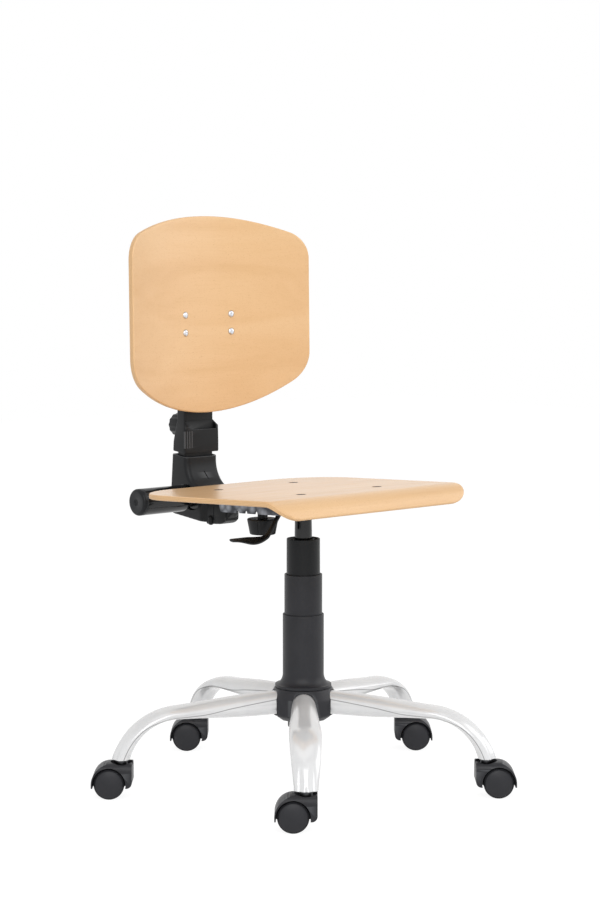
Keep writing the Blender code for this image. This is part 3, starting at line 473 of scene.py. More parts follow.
# Where the lever's middle line runs, up from its pivot, then its width, thickness and twist there
lever_stations = (
    (7 * mm, 0, 0, 9 * mm, 4.6 * mm, 0),
    (-30 * mm, -3 * mm, 0, 9 * mm, 4.6 * mm, 0),
    (-58 * mm, -20 * mm, -2.8 * mm, 7 * mm, 6.5 * mm, 0),
    (-77 * mm, -30 * mm, -12.3 * mm, 7 * mm, 6.5 * mm, 0),
    (-98 * mm, -30 * mm, -40.3 * mm, 8 * mm, 6.5 * mm, -8),
    (-107 * mm, -30 * mm, -46.3 * mm, 11 * mm, 6.5 * mm, -14),
    (-122 * mm, -30 * mm, -48.6 * mm, 17 * mm, 6 * mm, -26),
    (-139 * mm, -30 * mm, -48.2 * mm, 20 * mm, 5 * mm, -26),
    (-160 * mm, -30 * mm, -45.4 * mm, 16 * mm, 4.4 * mm, -12),
    (-173 * mm, -30 * mm, -44.5 * mm, 12 * mm, 4.6 * mm, -6),
)

# Studio
plain_white = (1, 1, 1, 1)
world_strength = 0.47
# How the white that is seen dims overhead, by how steeply it is looked up at
ceiling_range = {"From Min": 0.4, "From Max": 0.9, "To Min": 1.0, "To Max": 0.7}
floor_half_size = 6
floor_colour = (0.9, 0.9, 0.9, 1)
floor_glow = 1.2
floor_white_share = 0.75
# Each soft box's place, what it faces, its size and its power
softboxes = {
    "key": ((-2.2, -2.4, 2.6), (0, 0, 0.5), (3.2, 3.2), 69),
    "fill": ((2.6, -1.8, 2.0), (0, 0, 0.5), (2.6, 2.6), 30),
    "top": ((0, 0.4, 3.2), (0, 0, 0.4), (2.4, 2.4), 8),
}
camera_place = (-2.4391, -2.7569, 0.8962)
camera_turn_degrees = (84.426, 0, -41.418)
camera_sensor_height = 36
camera_lens = 93.296

# Outlines given across X and up are laid along Y, and those given across Y and up along X
along_y = Matrix(((1, 0, 0, 0), (0, 0, -1, 0), (0, 1, 0, 0), (0, 0, 0, 1)))
along_x = Matrix(((0, 0, 1, 0), (1, 0, 0, 0), (0, 1, 0, 0), (0, 0, 0, 1)))
seat_frame = Matrix.Translation((0, 0, seat_height)) @ Matrix.Rotation(-seat_tilt, 4, "X")
hinge_frame = Matrix.Translation((0, hinge_y, hinge_z))
back_frame = Matrix.Translation((0, back_front, back_middle)) @ Matrix.Rotation(-back_lean, 4, "X")


# Material helpers

class Look:
    """A material under construction: its nodes, its links and its shader."""

    def __init__(self, name):
        self.material = bpy.data.materials.new(name)
        self.material.use_nodes = True
        self.tree = self.material.node_tree
        self.shader = self.tree.nodes["Principled BSDF"]

    def node(self, kind, settings=None, inputs=None):
        """A node with its settings, and inputs that are numbers or another node's output."""
        made = self.tree.nodes.new(kind)
        for key, value in (settings or {}).items():
            setattr(made, key, value)
        for key, value in (inputs or {}).items():
            self.give(made.inputs[key], value)
        return made

    def give(self, socket, value):
        if isinstance(value, bpy.types.NodeSocket):
            self.tree.links.new(value, socket)
        else:
            socket.default_value = value

    def set(self, **inputs):
        """Shader inputs by name, with _ for a space."""
        for key, value in inputs.items():
            self.give(self.shader.inputs[key.replace("_", " ")], value)

    def coordinates(self, scale):
        """Places on the piece, stretched by scale."""
        place = self.node("ShaderNodeTexCoord").outputs["Object"]
        return self.node("ShaderNodeMapping", inputs={"Vector": place, "Scale": scale}).outputs[0]

    def noise(self, scale, detail=2.0, roughness=0.5, distortion=0.0):
        inputs = {
            "Vector": self.coordinates(scale),
            "Scale": 1.0,
            "Detail": detail,
            "Roughness": roughness,
            "Distortion": distortion,
        }
        return self.node("ShaderNodeTexNoise", inputs=inputs).outputs["Fac"]

    def ramp(self, value, *stops):
        """Colours at places from 0 to 1."""
        made = self.node("ShaderNodeValToRGB", inputs={"Fac": value})
        elements = made.color_ramp.elements
        while len(elements) < len(stops):
            elements.new(0.5)
        for element, (place, colour) in zip(elements, stops):
            element.position = place
            element.color = (*colour, 1)
        return made.outputs["Color"]

    def span(self, value, low, high, from_low=0.3, from_high=0.7):
        """A value's middle range spread between low and high."""
        inputs = {
            "Value": value,
            "From Min": from_low,
            "From Max": from_high,
            "To Min": low,
            "To Max": high,
        }
        return self.node("ShaderNodeMapRange", inputs=inputs).outputs["Result"]

    def mix(self, share, first, second, blend="MIX"):
        made = self.node("ShaderNodeMix", {"data_type": "RGBA", "blend_type": blend})
        for socket, value in ((0, share), (6, first), (7, second)):
            self.give(made.inputs[socket], value)
        return made.outputs[2]

    def bump(self, height, strength, distance, under=None):
        inputs = {"Height": height, "Strength": strength, "Distance": distance}
        if under:
            inputs["Normal"] = under
        return self.node("ShaderNodeBump", inputs=inputs).outputs["Normal"]

    def sharp_edge_share(self, low=0.53, high=0.60):
        """Where the surface turns sharply outward, from 0 to 1."""
        geometry = self.node("ShaderNodeNewGeometry")
        return self.span(geometry.outputs["Pointiness"], 0, 1, low, high)


def beech_veneer():
    """Rotary-cut beech, its grain along X: pale bands, short dark flecks, satin lacquer."""
    look = Look("beech_veneer")
    bands = look.noise((1.5, 16, 16), 3, 0.55, 0.6)
    colour = look.ramp(
        bands,
        (0.25, (0.80, 0.490, 0.235)),
        (0.50, (0.86, 0.550, 0.280)),
        (0.75, (0.90, 0.600, 0.325)),
    )
    streaks = look.noise((9, 420, 420), 3, 0.6, 0.2)
    colour = look.mix(look.span(streaks, 0, 0.22, 0.5, 0.8), colour, (0.70, 0.385, 0.165, 1))
    flecks = look.noise((260, 1900, 1900), 1, 0.5)
    fleck_mask = look.span(flecks, 0, 0.55, 0.64, 0.74)
    colour = look.mix(fleck_mask, colour, (0.56, 0.27, 0.105, 1))
    fine = look.noise((120, 2600, 2600), 2, 0.6)
    look.set(
        Base_Color=colour,
        Roughness=look.span(look.noise((14, 60, 60), 3), 0.34, 0.44),
        Specular_IOR_Level=0.3,
        Coat_Weight=0.62,
        Coat_Roughness=0.26,
        Normal=look.bump(fine, 0.12, 0.0001),
    )
    return look.material


def ply_edge():
    """The cut edge of the board: tan plies between darker glue lines, from its rim map."""
    look = Look("ply_edge")
    rim = look.node("ShaderNodeUVMap", {"uv_map": "rim"}).outputs["UV"]
    depth = look.node("ShaderNodeSeparateXYZ", inputs={"Vector": rim}).outputs["Y"]
    wander = look.noise((60, 60, 60), 2)
    sway = look.node("ShaderNodeMath", {"operation": "MULTIPLY_ADD"}, {0: wander, 1: 0.05, 2: depth})
    plies = look.node("ShaderNodeMath", {"operation": "MULTIPLY"}, {0: sway.outputs[0], 1: 3.5})
    fold = look.node("ShaderNodeMath", {"operation": "PINGPONG"}, {0: plies.outputs[0], 1: 0.5})
    doubled = look.node("ShaderNodeMath", {"operation": "MULTIPLY"}, {0: fold.outputs[0], 1: 2.0})
    colour = look.ramp(
        doubled.outputs[0],
        (0.00, (0.66, 0.365, 0.155)),
        (0.18, (0.80, 0.490, 0.235)),
        (0.60, (0.89, 0.580, 0.305)),
        (1.00, (0.86, 0.540, 0.275)),
    )
    pores = look.noise((700, 700, 700), 2, 0.6)
    colour = look.mix(look.span(pores, 0, 0.25, 0.5, 0.75), colour, (0.46, 0.22, 0.09, 1))
    look.set(
        Base_Color=colour,
        Roughness=look.span(pores, 0.42, 0.58),
        Normal=look.bump(pores, 0.25, 0.0001),
    )
    return look.material


def moulded_plastic(name, dark, light, edge=(0.070, 0.073, 0.079, 1)):
    """Satin plastic with a fine moulded grain and paler edges, partly wear and partly a painted highlight.
    """
    look = Look(name)
    grain = look.noise((1500, 1500, 1500), 2, 0.6)
    patches = look.noise((26, 26, 26), 3)
    wear_and_highlight = look.sharp_edge_share()
    colour = look.mix(look.span(patches, 0, 1), dark, light)
    # Paler colour on sharp outward edges: partly wear, partly a painted highlight
    colour = look.mix(wear_and_highlight, colour, edge)
    look.set(
        Base_Color=colour,
        Roughness=look.span(patches, 0.36, 0.46),
        Specular_IOR_Level=0.26,
        Normal=look.bump(grain, 0.18, 0.00008),
    )
    return look.material


def chrome_plate():
    """Pale plate with faint smears, a trace of waviness and a painted dark shade line along each side."""
    look = Look("chrome_plate")
    smears = look.noise((30, 30, 9), 4, 0.6, 0.5)
    waves = look.noise((55, 55, 55), 1)
    colour = look.mix(look.span(smears, 0, 1), (0.82, 0.825, 0.835, 1), (0.87, 0.875, 0.88, 1))
    # Painted shade: dark colour close to a line along each side of the arm, at the place the arm's mesh
    # marks
    side = look.node("ShaderNodeAttribute", {"attribute_name": "from_shade_line"}).outputs["Fac"]
    beside = look.node("ShaderNodeMath", {"operation": "ABSOLUTE"}, {0: side}).outputs[0]
    in_shade_line = look.span(beside, 0.75, 0, 0.3 * shade_line_width, shade_line_width)
    colour = look.mix(in_shade_line, colour, (0.16, 0.16, 0.165, 1))
    look.set(
        Base_Color=colour,
        Metallic=0.18,
        Roughness=look.span(smears, 0.14, 0.22),
        Normal=look.bump(waves, 0.06, 0.0006),
    )
    return look.material


def zinc_plate(name, pale, dark, smoothest):
    """Zinc with a soft spangle and fine rubbed lines, in colours given per use that hold painted shade or a
    painted highlight.
    """
    look = Look(name)
    cells = look.node(
        "ShaderNodeTexVoronoi",
        inputs={"Vector": look.coordinates((75, 75, 75)), "Scale": 1.0},
    ).outputs["Distance"]
    rubbed = look.noise((60, 900, 900), 3, 0.6)
    colour = look.mix(look.span(cells, 0, 1, 0.1, 0.7), pale, dark)
    look.set(
        Base_Color=colour,
        Metallic=1.0,
        Roughness=look.span(rubbed, smoothest, smoothest + 0.12),
        Normal=look.bump(rubbed, 0.10, 0.0001),
    )
    return look.material


def turned_steel():
    """Dark oiled steel with fine tool lines round it."""
    look = Look("turned_steel")
    lines = look.noise((160, 160, 2400), 2, 0.6)
    stain = look.noise((40, 40, 40), 3)
    colour = look.mix(look.span(stain, 0, 1), (0.085, 0.087, 0.092, 1), (0.060, 0.061, 0.065, 1))
    look.set(
        Base_Color=colour,
        Metallic=1.0,
        Roughness=look.span(lines, 0.26, 0.40),
        Normal=look.bump(lines, 0.12, 0.0001),
    )
    return look.material


def black_coat():
    """Black paint on steel: a smooth semi-gloss with a slight orange peel."""
    look = Look("black_coat")
    peel = look.noise((420, 420, 420), 2)
    patches = look.noise((30, 30, 30), 3)
    colour = look.mix(
        look.span(patches, 0, 1),
        (0.0065, 0.0066, 0.0074, 1),
        (0.0095, 0.0097, 0.0106, 1),
    )
    colour = look.mix(look.sharp_edge_share(0.54, 0.66), colour, (0.05, 0.05, 0.052, 1))
    look.set(
        Base_Color=colour,
        Roughness=look.span(patches, 0.07, 0.12),
        Specular_IOR_Level=0.45,
        Normal=look.bump(peel, 0.10, 0.0001),
    )
    return look.material


plastic_shades = ((0.0045, 0.0052, 0.0064, 1), (0.0070, 0.0080, 0.0097, 1))
finishes = {
    "beech": beech_veneer(),
    "black_plastic": moulded_plastic("moulded_plastic", *plastic_shades),
    # Upright's plastic: its sharp edges much paler, a painted highlight along its rim and edges
    "plastic_painted_edge_highlight": moulded_plastic("plastic_painted_edge_highlight", *plastic_shades, (0.16, 0.165, 0.175, 1)),
    # A paler copy of the black plastic for the low pieces: painted light, standing in for the white floor's
    # bounce on them
    "floor_lit_plastic": moulded_plastic("paler_plastic_painted_floor_light", (0.022, 0.0224, 0.026, 1), (0.029, 0.0295, 0.034, 1)),
    "chrome": chrome_plate(),
    # The plate's zinc, darkened: painted shade and dark reflection under the seat
    "zinc": zinc_plate("zinc_plate", (0.27, 0.28, 0.305, 1), (0.06, 0.062, 0.069, 1), 0.30),
    # A lighter copy of the zinc for the back screws: painted highlight
    "zinc_painted_highlight": zinc_plate("zinc_painted_highlight", (0.80, 0.815, 0.85, 1), (0.62, 0.64, 0.68, 1), 0.18),
    "steel": turned_steel(),
    "black_steel": black_coat(),
}
edge_finish = ply_edge()


# Shape helpers

def finished_mesh(name, shape, sharp_angle=35):
    """The shape welded, facing out and shaded smooth up to its sharp edges."""
    bmesh.ops.remove_doubles(shape, verts=shape.verts, dist=0.000001)
    bmesh.ops.recalc_face_normals(shape, faces=shape.faces)
    mesh = bpy.data.meshes.new(name)
    shape.to_mesh(mesh)
    shape.free()
    return smoothed(mesh, sharp_angle)


def smoothed(mesh, sharp_angle=35):
    mesh.shade_smooth()
    mesh.set_sharp_from_angle(angle=math.radians(sharp_angle))
    return mesh


def moved(mesh, matrix):
    mesh.transform(matrix)
    return mesh


def skin(name, rings, sharp_angle=35):
    """Quads over rings of points, with flat ends."""
    shape = bmesh.new()
    loops = [[shape.verts.new(point) for point in ring] for ring in rings]
    count = len(rings[0])
    for lower, upper in zip(loops, loops[1:]):
        for i in range(count):
            j = (i + 1) % count
            shape.faces.new((lower[i], lower[j], upper[j], upper[i]))
    shape.faces.new(loops[0])
    shape.faces.new(loops[-1])
    return finished_mesh(name, shape, sharp_angle)


def lathe(name, profile, steps=round_steps):
    """A profile of radius and height turned about Z."""
    shape = bmesh.new()
    points = [shape.verts.new((radius, 0, height)) for radius, height in profile]
    edges = [shape.edges.new(pair) for pair in zip(points, points[1:])]
    bmesh.ops.spin(
        shape,
        geom=points + edges,
        axis=(0, 0, 1),
        cent=(0, 0, 0),
        steps=steps,
        angle=2 * math.pi,
        use_merge=True,
    )
    return finished_mesh(name, shape)


def rod(name, radius, low, high, steps=small_round_steps):
    shape = bmesh.new()
    bmesh.ops.create_cone(
        shape,
        cap_ends=True,
        segments=steps,
        radius1=radius,
        radius2=radius,
        depth=high - low,
        matrix=Matrix.Translation((0, 0, (low + high) / 2)),
    )
    return finished_mesh(name, shape)


def block(name, low, high):
    size = Matrix.Diagonal([b - a for a, b in zip(low, high)] + [1])
    middle = Matrix.Translation([(a + b) / 2 for a, b in zip(low, high)])
    shape = bmesh.new()
    bmesh.ops.create_cube(shape, size=1, matrix=middle @ size)
    return finished_mesh(name, shape)


def prism(name, outline, low, high):
    return skin(name, [[(x, y, z) for x, y in outline] for z in (low, high)])


def with_modifier(mesh, kind, tool=None, **settings):
    """The mesh after one modifier, the tool mesh being what it is combined with."""
    thing = bpy.data.objects.new("worked", mesh)
    made = [thing]
    modifier = thing.modifiers.new("Work", kind)
    if tool:
        helper = bpy.data.objects.new("tool", tool)
        modifier.object = helper
        made.append(helper)
    for item in made:
        bpy.context.scene.collection.objects.link(item)
    for key, value in settings.items():
        setattr(modifier, key, value)
    bpy.context.view_layer.update()
    evaluated = thing.evaluated_get(bpy.context.evaluated_depsgraph_get())
    result = bpy.data.meshes.new_from_object(evaluated)
    for item in made:
        bpy.data.objects.remove(item)
    return smoothed(result)


def combined(mesh, tool, operation):
    settings = {"operation": operation, "solver": "EXACT", "material_mode": "TRANSFER"}
    return with_modifier(mesh, "BOOLEAN", tool, **settings)


def cut(mesh, tool):
    return combined(mesh, tool, "DIFFERENCE")


def joined(mesh, tool):
    return combined(mesh, tool, "UNION")


def common(mesh, tool):
    return combined(mesh, tool, "INTERSECT")


def softened(mesh, width, segments=3, angle=35):
    settings = {
        "width": width,
        "segments": segments,
        "limit_method": "ANGLE",
        "angle_limit": math.radians(angle),
        "miter_outer": "MITER_ARC",
        "harden_normals": False,
    }
    return with_modifier(mesh, "BEVEL", **settings)


def moulded(mesh):
    """The mesh with every edge worn round, as a moulding's are."""
    fine = with_modifier(mesh, "REMESH", mode="VOXEL", voxel_size=moulding_step)
    return with_modifier(fine, "SMOOTH", factor=0.5, iterations=moulding_passes)


def arc(centre_x, centre_y, radius, start, end, steps, radius_y=None):
    """Points on a round or oval arc, angles in degrees."""
    tall = radius if radius_y is None else radius_y
    points = []
    for i in range(steps + 1):
        angle = math.radians(start + (end - start) * i / steps)
        points.append((centre_x + radius * math.cos(angle), centre_y + tall * math.sin(angle)))
    return points


def mirrored(half):
    """A half outline at +X, then the same at -X."""
    return half + [(-x, y) for x, y in reversed(half)]


def rounded_rectangle(half_width, low, high, low_corner, high_corner, steps=10, high_half_width=None):
    """Corner to corner, its far side as wide as its near one unless given."""
    far_half_width = half_width if high_half_width is None else high_half_width
    half = arc(half_width - low_corner, low + low_corner, low_corner, -90, 0, steps)
    half += arc(far_half_width - high_corner, high - high_corner, high_corner, 0, 90, steps)
    return mirrored(half)


def soft_line(points, closed=False, steps=5):
    """A line of (across, up, rounding) points with its corners rounded by short curves."""
    count = len(points)
    line = []
    for i, (across, up, rounding) in enumerate(points):
        at_end = not closed and i in (0, count - 1)
        if rounding == 0 or at_end:
            line.append((across, up))
            continue
        here = Vector((across, up))
        before = Vector(points[i - 1][:2]) - here
        after = Vector(points[(i + 1) % count][:2]) - here
        start = here + before.normalized() * min(rounding, before.length / 2)
        stop = here + after.normalized() * min(rounding, after.length / 2)
        for k in range(steps + 1):
            t = k / steps
            line.append(tuple(start * (1 - t) ** 2 + here * 2 * t * (1 - t) + stop * t**2))
    return line


def ring_profile(bore, radius, low, high, low_edge, high_edge):
    """The section of a plain ring, rounded at its outer edges."""
    return soft_line((
        (bore, high, 0),
        (radius, high, high_edge),
        (radius, low, low_edge),
        (bore, low, 0),
        (bore, high, 0),
    ))


def dense(outline, spacing):
    """A closed outline with more points along its long sides."""
    points = []
    for (x0, y0), (x1, y1) in zip(outline, outline[1:] + outline[:1]):
        count = max(1, math.ceil(math.hypot(x1 - x0, y1 - y0) / spacing))
        points += [(x0 + (x1 - x0) * k / count, y0 + (y1 - y0) * k / count) for k in range(count)]
    return points


def inset(outline, distance):
    """A closed outline drawn in by a short distance."""
    count = len(outline)
    area = sum(a[0] * b[1] - b[0] * a[1] for a, b in zip(outline, outline[1:] + outline[:1]))
    side = math.copysign(1, area)
    points = []
    for i, (x, y) in enumerate(outline):
        before = outline[i - 1]
        after = outline[(i + 1) % count]
        along = Vector((after[0] - before[0], after[1] - before[1])).normalized()
        points.append((x - side * along.y * distance, y + side * along.x * distance))
    return points


def smooth_steps(value):
    """From 0 to 1 without corners."""
    held = min(max(value, 0), 1)
    return held * held * (3 - 2 * held)


def through_points(values, position):
    """A smooth value at a position along unevenly placed (position, value) pairs."""
    last = len(values) - 1
    i = 0
    while i < last - 1 and position > values[i + 1][0]:
        i += 1
    (x0, y0), (x1, y1) = values[i], values[i + 1]
    before = values[max(i - 1, 0)]
    after = values[min(i + 2, last)]
    slope0 = (y1 - before[1]) / (x1 - before[0])
    slope1 = (after[1] - y0) / (after[0] - x0)
    width = x1 - x0
    t = (position - x0) / width
    start = (1 + 2 * t) * (1 - t) ** 2 * y0 + t * (1 - t) ** 2 * width * slope0
    return start + t * t * (3 - 2 * t) * y1 + t * t * (t - 1) * width * slope1


def lobed(radius, lobes, depth, sharpness=1, points_per_lobe=32):
    """A round outline with grooves for grip, narrow ones when sharp."""
    count = lobes * points_per_lobe
    outline = []
    for i in range(count):
        angle = 2 * math.pi * i / count
        reach = radius - depth * (0.5 - 0.5 * math.cos(lobes * angle)) ** sharpness
        outline.append((reach * math.cos(angle), reach * math.sin(angle)))
    return outline


def add_piece(name, mesh, slot, node, place=None, replace=True, finish=None):
    """Show a piece that moves with a node's body, and takes the node's place."""
    if not any(mesh.materials):
        mesh.materials.clear()
        mesh.materials.append(finishes[finish or slot])
    piece = bpy.data.objects.new(name, mesh)
    bpy.context.scene.collection.objects.link(piece)
    if place:
        piece.matrix_world = place
    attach(piece, body_of[node])
    if replace:
        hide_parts(node)


# Base

def arm_turn(index):
    """How far an arm drawn along +X turns about Z."""
    return first_arm_azimuth + 2 * math.pi * index / arm_count - math.pi / 2


def arm_mesh():
    """A pressed tube arm, fluted over its end and cut flat above the caster."""
    drop = bend_start_height - arm_root_height
    run = bend_start_radius - arm_root_radius
    root_slope = math.atan2(-drop, run)
    straight = math.hypot(run, drop)
    bend = bend_radius * (bend_end_slope - root_slope)
    widths = [(share * straight, width) for share, width, thickness in straight_sections]
    widths += [(straight + share * bend, width) for share, width, thickness in bend_sections]
    depths = [(share * straight, thickness) for share, width, thickness in straight_sections]
    depths += [(straight + share * bend, thickness) for share, width, thickness in bend_sections]
    shade_line_turns = [(share * straight, turn) for share, turn in straight_shade_line]
    shade_line_turns += [(straight + share * bend, turn) for share, turn in bend_shade_line]
    tail = bend_sections[-1][2] / 2
    length = straight + bend + tail
    first = arm_start - arm_root_radius
    rings = []
    from_shade_line = []
    for step in range(arm_length_steps + 1):
        place = first + (length - first) * step / arm_length_steps
        on_bend = min(max(place - straight, 0), bend)
        slope = root_slope + on_bend / bend_radius
        before = min(place, straight)
        past = max(place - straight - bend, 0)
        radius = arm_root_radius + before * math.cos(root_slope) + past * math.cos(slope)
        radius += bend_radius * (math.sin(slope) - math.sin(root_slope))
        height = arm_root_height - before * math.sin(root_slope) - past * math.sin(slope)
        height -= bend_radius * (math.cos(root_slope) - math.cos(slope))
        held = min(place, straight + bend)
        half_width = through_points(widths, held) / 2
        half_depth = through_points(depths, held) / 2
        # Where the painted dark shade line lies on this section
        shade_line_up = half_depth * math.sin(math.radians(through_points(shade_line_turns, held)))
        from_end = length - tail / 2 - place
        flute = flute_depth * smooth_steps(1 - from_end / flute_length)
        pinch = pinch_depth * smooth_steps(1 - from_end / pinch_length)
        ring = []
        for across, up in arc(0, 0, half_width, 0, 360, arm_ring_steps, half_depth)[:-1]:
            if up > 0:
                beside = math.exp(-(((abs(across) - flute_offset) / flute_spread) ** 2))
                centre = math.exp(-((across / pinch_spread) ** 2))
                up -= flute * beside + pinch * centre
            ring.append((radius + up * math.sin(slope), across, height + up * math.cos(slope)))
            from_shade_line.append(up - shade_line_up)
        rings.append(ring)
    mesh = skin("arm", rings)
    mesh.attributes.new("from_shade_line", "FLOAT", "POINT").data.foreach_set("value", from_shade_line)
    shape = bmesh.new()
    shape.from_mesh(mesh)
    everything = list(shape.verts) + list(shape.edges) + list(shape.faces)
    found = bmesh.ops.bisect_plane(
        shape,
        geom=everything,
        plane_co=(0, 0, arm_end_height),
        plane_no=(0, 0, 1),
        clear_inner=True,
    )
    rim = [item for item in found["geom_cut"] if isinstance(item, bmesh.types.BMEdge)]
    end = bmesh.ops.edgeloop_fill(shape, edges=rim)["faces"]
    bmesh.ops.inset_region(shape, faces=end, thickness=arm_lip, depth=-arm_recess)
    bmesh.ops.bevel(
        shape,
        geom=rim,
        offset=arm_end_edge,
        segments=3,
        profile=0.5,
        affect="EDGES",
    )
    return finished_mesh("arm", shape)


def hub_mesh():
    """A cup over the arms' roots with a wider belt, through which the arms come out."""
    inner = lift_tube_radius + gap
    wall_inside = hub_radius - hub_wall
    profile = soft_line((
        (inner, hub_top, 0),
        (belt_top_radius, hub_top, belt_top_edge),
        (belt_radius, belt_shoulder, belt_rounding),
        (belt_radius, belt_bottom, belt_rounding),
        (belt_foot_radius, hub_bottom, belt_foot_edge),
        (wall_inside, hub_bottom, 0),
        (wall_inside, hub_top - hub_deck, 0),
        (inner, hub_top - hub_deck, 0),
        (inner, hub_top, 0),
    ))
    mesh = lathe("hub", profile)
    width, thickness = straight_sections[0][1:]
    reach = width / 2 + arm_opening_room
    opening = arc(0, arm_root_height, reach, 0, 180, 32, thickness / 2 + gap)
    opening += [(-reach, 0), (reach, 0)]
    for index in range(arm_count):
        turn = Matrix.Rotation(arm_turn(index), 4, "Z") @ along_x
        mesh = cut(mesh, moved(prism("opening", opening, arm_root_radius, 2 * hub_radius), turn))
    return softened(mesh, fine_edge, 2, 50)


def build_base():
    arm = arm_mesh()
    for index in range(arm_count):
        node = f"arm_{index + 1}"
        add_piece(f"{node}_finished", arm, "chrome", node, Matrix.Rotation(arm_turn(index), 4, "Z"))
    add_piece("hub_cover_finished", hub_mesh(), "black_plastic", "hub_cover", finish="floor_lit_plastic")
    inner = lift_tube_radius + gap
    levels = (hub_ring_bottom, hub_ring_top)
    profile = ring_profile(inner, hub_ring_radius, *levels, hub_ring_edge, hub_ring_edge)
    add_piece("hub_ring_finished", lathe("hub_ring", profile), "steel", "hub_ring")


# Casters

def hood_side():
    """The housing's side, from the edge behind the wheel over the top to the stem wall."""
    low = hood_edge_height
    drop = low - wheel_radius
    inner_reach = math.sqrt(hood_inner_radius**2 - drop**2)
    inner_angle = math.degrees(math.asin(-drop / hood_inner_radius))
    front = trail - hood_wall_from_wheel
    toe = hood_toe_radius
    outline = [(trail + inner_reach, low), (trail + hood_reach, low)]
    spread = hood_reach + hood_top_set_back
    outline += arc(trail - hood_top_set_back, wheel_radius, spread, 0, 90, 24, hood_top - wheel_radius)
    outline += arc(front + hood_chamfer, hood_top - hood_chamfer, hood_chamfer, 90, 180, 5)
    outline += arc(front + toe, low + toe, toe, 180, 270, 10)
    outline += arc(trail, wheel_radius, hood_inner_radius, 180 + inner_angle, -inner_angle, 40)[:-1]
    return outline


def hood_front():
    """The housing seen along its heading: upright sides, then rounded in to the crown."""
    rounding = hood_half_width - hood_crown_half_width
    half = [(hood_half_width, 0)]
    half += arc(hood_crown_half_width, hood_shoulder, rounding, 0, 90, 12, hood_top - hood_shoulder)
    return mirrored(half)


def housing_mesh():
    """The hood over both wheels, with a web between them, the axle and the stem's recess."""
    wheel_centre = Matrix.Translation((trail, 0, wheel_radius))
    hood = moved(prism("hood", hood_side(), -hood_half_width, hood_half_width), along_y)
    mesh = common(hood, moved(prism("front", hood_front(), -through, through), along_x))
    recess_floor = hood_top - stem_recess_depth
    mesh = cut(mesh, rod("recess", stem_recess_radius, recess_floor, through))
    mesh = softened(mesh, hood_edge, 3, 50)
    web = rod("web", hood_inner_radius + hood_chamfer / 2, -web_half_width, web_half_width, bore_steps)
    above = block("above", (-through, -through, hood_edge_height), (through, through, through))
    mesh = joined(mesh, common(moved(web, wheel_centre @ along_y), above))
    axle = rod("axle", axle_radius, -axle_end, axle_end)
    mesh = joined(mesh, moved(axle, wheel_centre @ along_y))
    return cut(mesh, rod("bore", stem_radius + gap, stem_bottom - gap, through))


def wheel_mesh():
    """A domed wheel about its axle, facing -Y, with a fine line round its face."""
    bore = axle_radius + gap
    dome = wheel_outer_face - wheel_tread_end
    line_start, line_end = face_line_degrees
    profile = soft_line((
        (bore, wheel_inner_face, 0),
        (wheel_radius, wheel_inner_face, wheel_edge),
        (wheel_radius, wheel_tread_end, 0),
    ))
    profile += arc(0, wheel_tread_end, wheel_radius, 0, line_start, 4, dome)[1:]
    shoulder_x, shoulder_z = profile[-1]
    profile += [(shoulder_x - inward, shoulder_z + up) for inward, up in face_line]
    profile += arc(0, wheel_tread_end, wheel_radius, line_end, 90, 16, dome)
    profile += [(0, axle_end + gap), (bore, axle_end + gap), (bore, wheel_inner_face)]
    return moved(lathe("wheel", profile, 96), along_y)


def stem_mesh():
    collar_low = hood_top - stem_recess_depth + gap
    collar_high = arm_end_height - gap
    profile = soft_line((
        (0, stem_top, 0),
        (stem_radius, stem_top, steel_edge),
        (stem_radius, collar_high, 0),
        (stem_collar_radius, collar_high, steel_edge),
        (stem_collar_radius, collar_low, steel_edge),
        (stem_radius, collar_low, 0),
        (stem_radius, stem_bottom, stem_foot_edge),
        (0, stem_bottom, 0),
    ))
    return lathe("stem", profile, small_round_steps)


def build_casters():
    housing = housing_mesh()
    wheel = wheel_mesh()
    stem = stem_mesh()
    for index in range(arm_count):
        name = f"caster_{index + 1}"
        outward = Matrix.Rotation(arm_turn(index), 4, "Z") @ Vector((stem_circle_radius, 0, 0))
        place = Matrix.Translation(outward) @ Matrix.Rotation(caster_headings[index], 4, "Z")
        axle = place @ Matrix.Translation((trail, 0, wheel_radius))
        add_piece(f"{name}_hood", housing, "black_plastic", f"{name}_housing", place, finish="floor_lit_plastic")
        add_piece(f"{name}_pin", stem, "steel", f"{name}_stem", place)
        for side, facing in (("left", 0), ("right", math.pi)):
            turned = axle @ Matrix.Rotation(facing, 4, "Z")
            node = f"{name}_wheel_{side}"
            add_piece(f"{name}_{side}_tyre", wheel, "black_plastic", node, turned, finish="floor_lit_plastic")


# Column

def cover_top(radius, top, neck):
    """The rounded top rim of a telescopic sleeve, chamfered round the next sleeve."""
    return [
        (neck, top - cover_lip, 0),
        (neck, top - cover_chamfer, 0),
        (neck + cover_chamfer, top, cover_chamfer_edge),
        (radius, top, cover_edge),
    ]


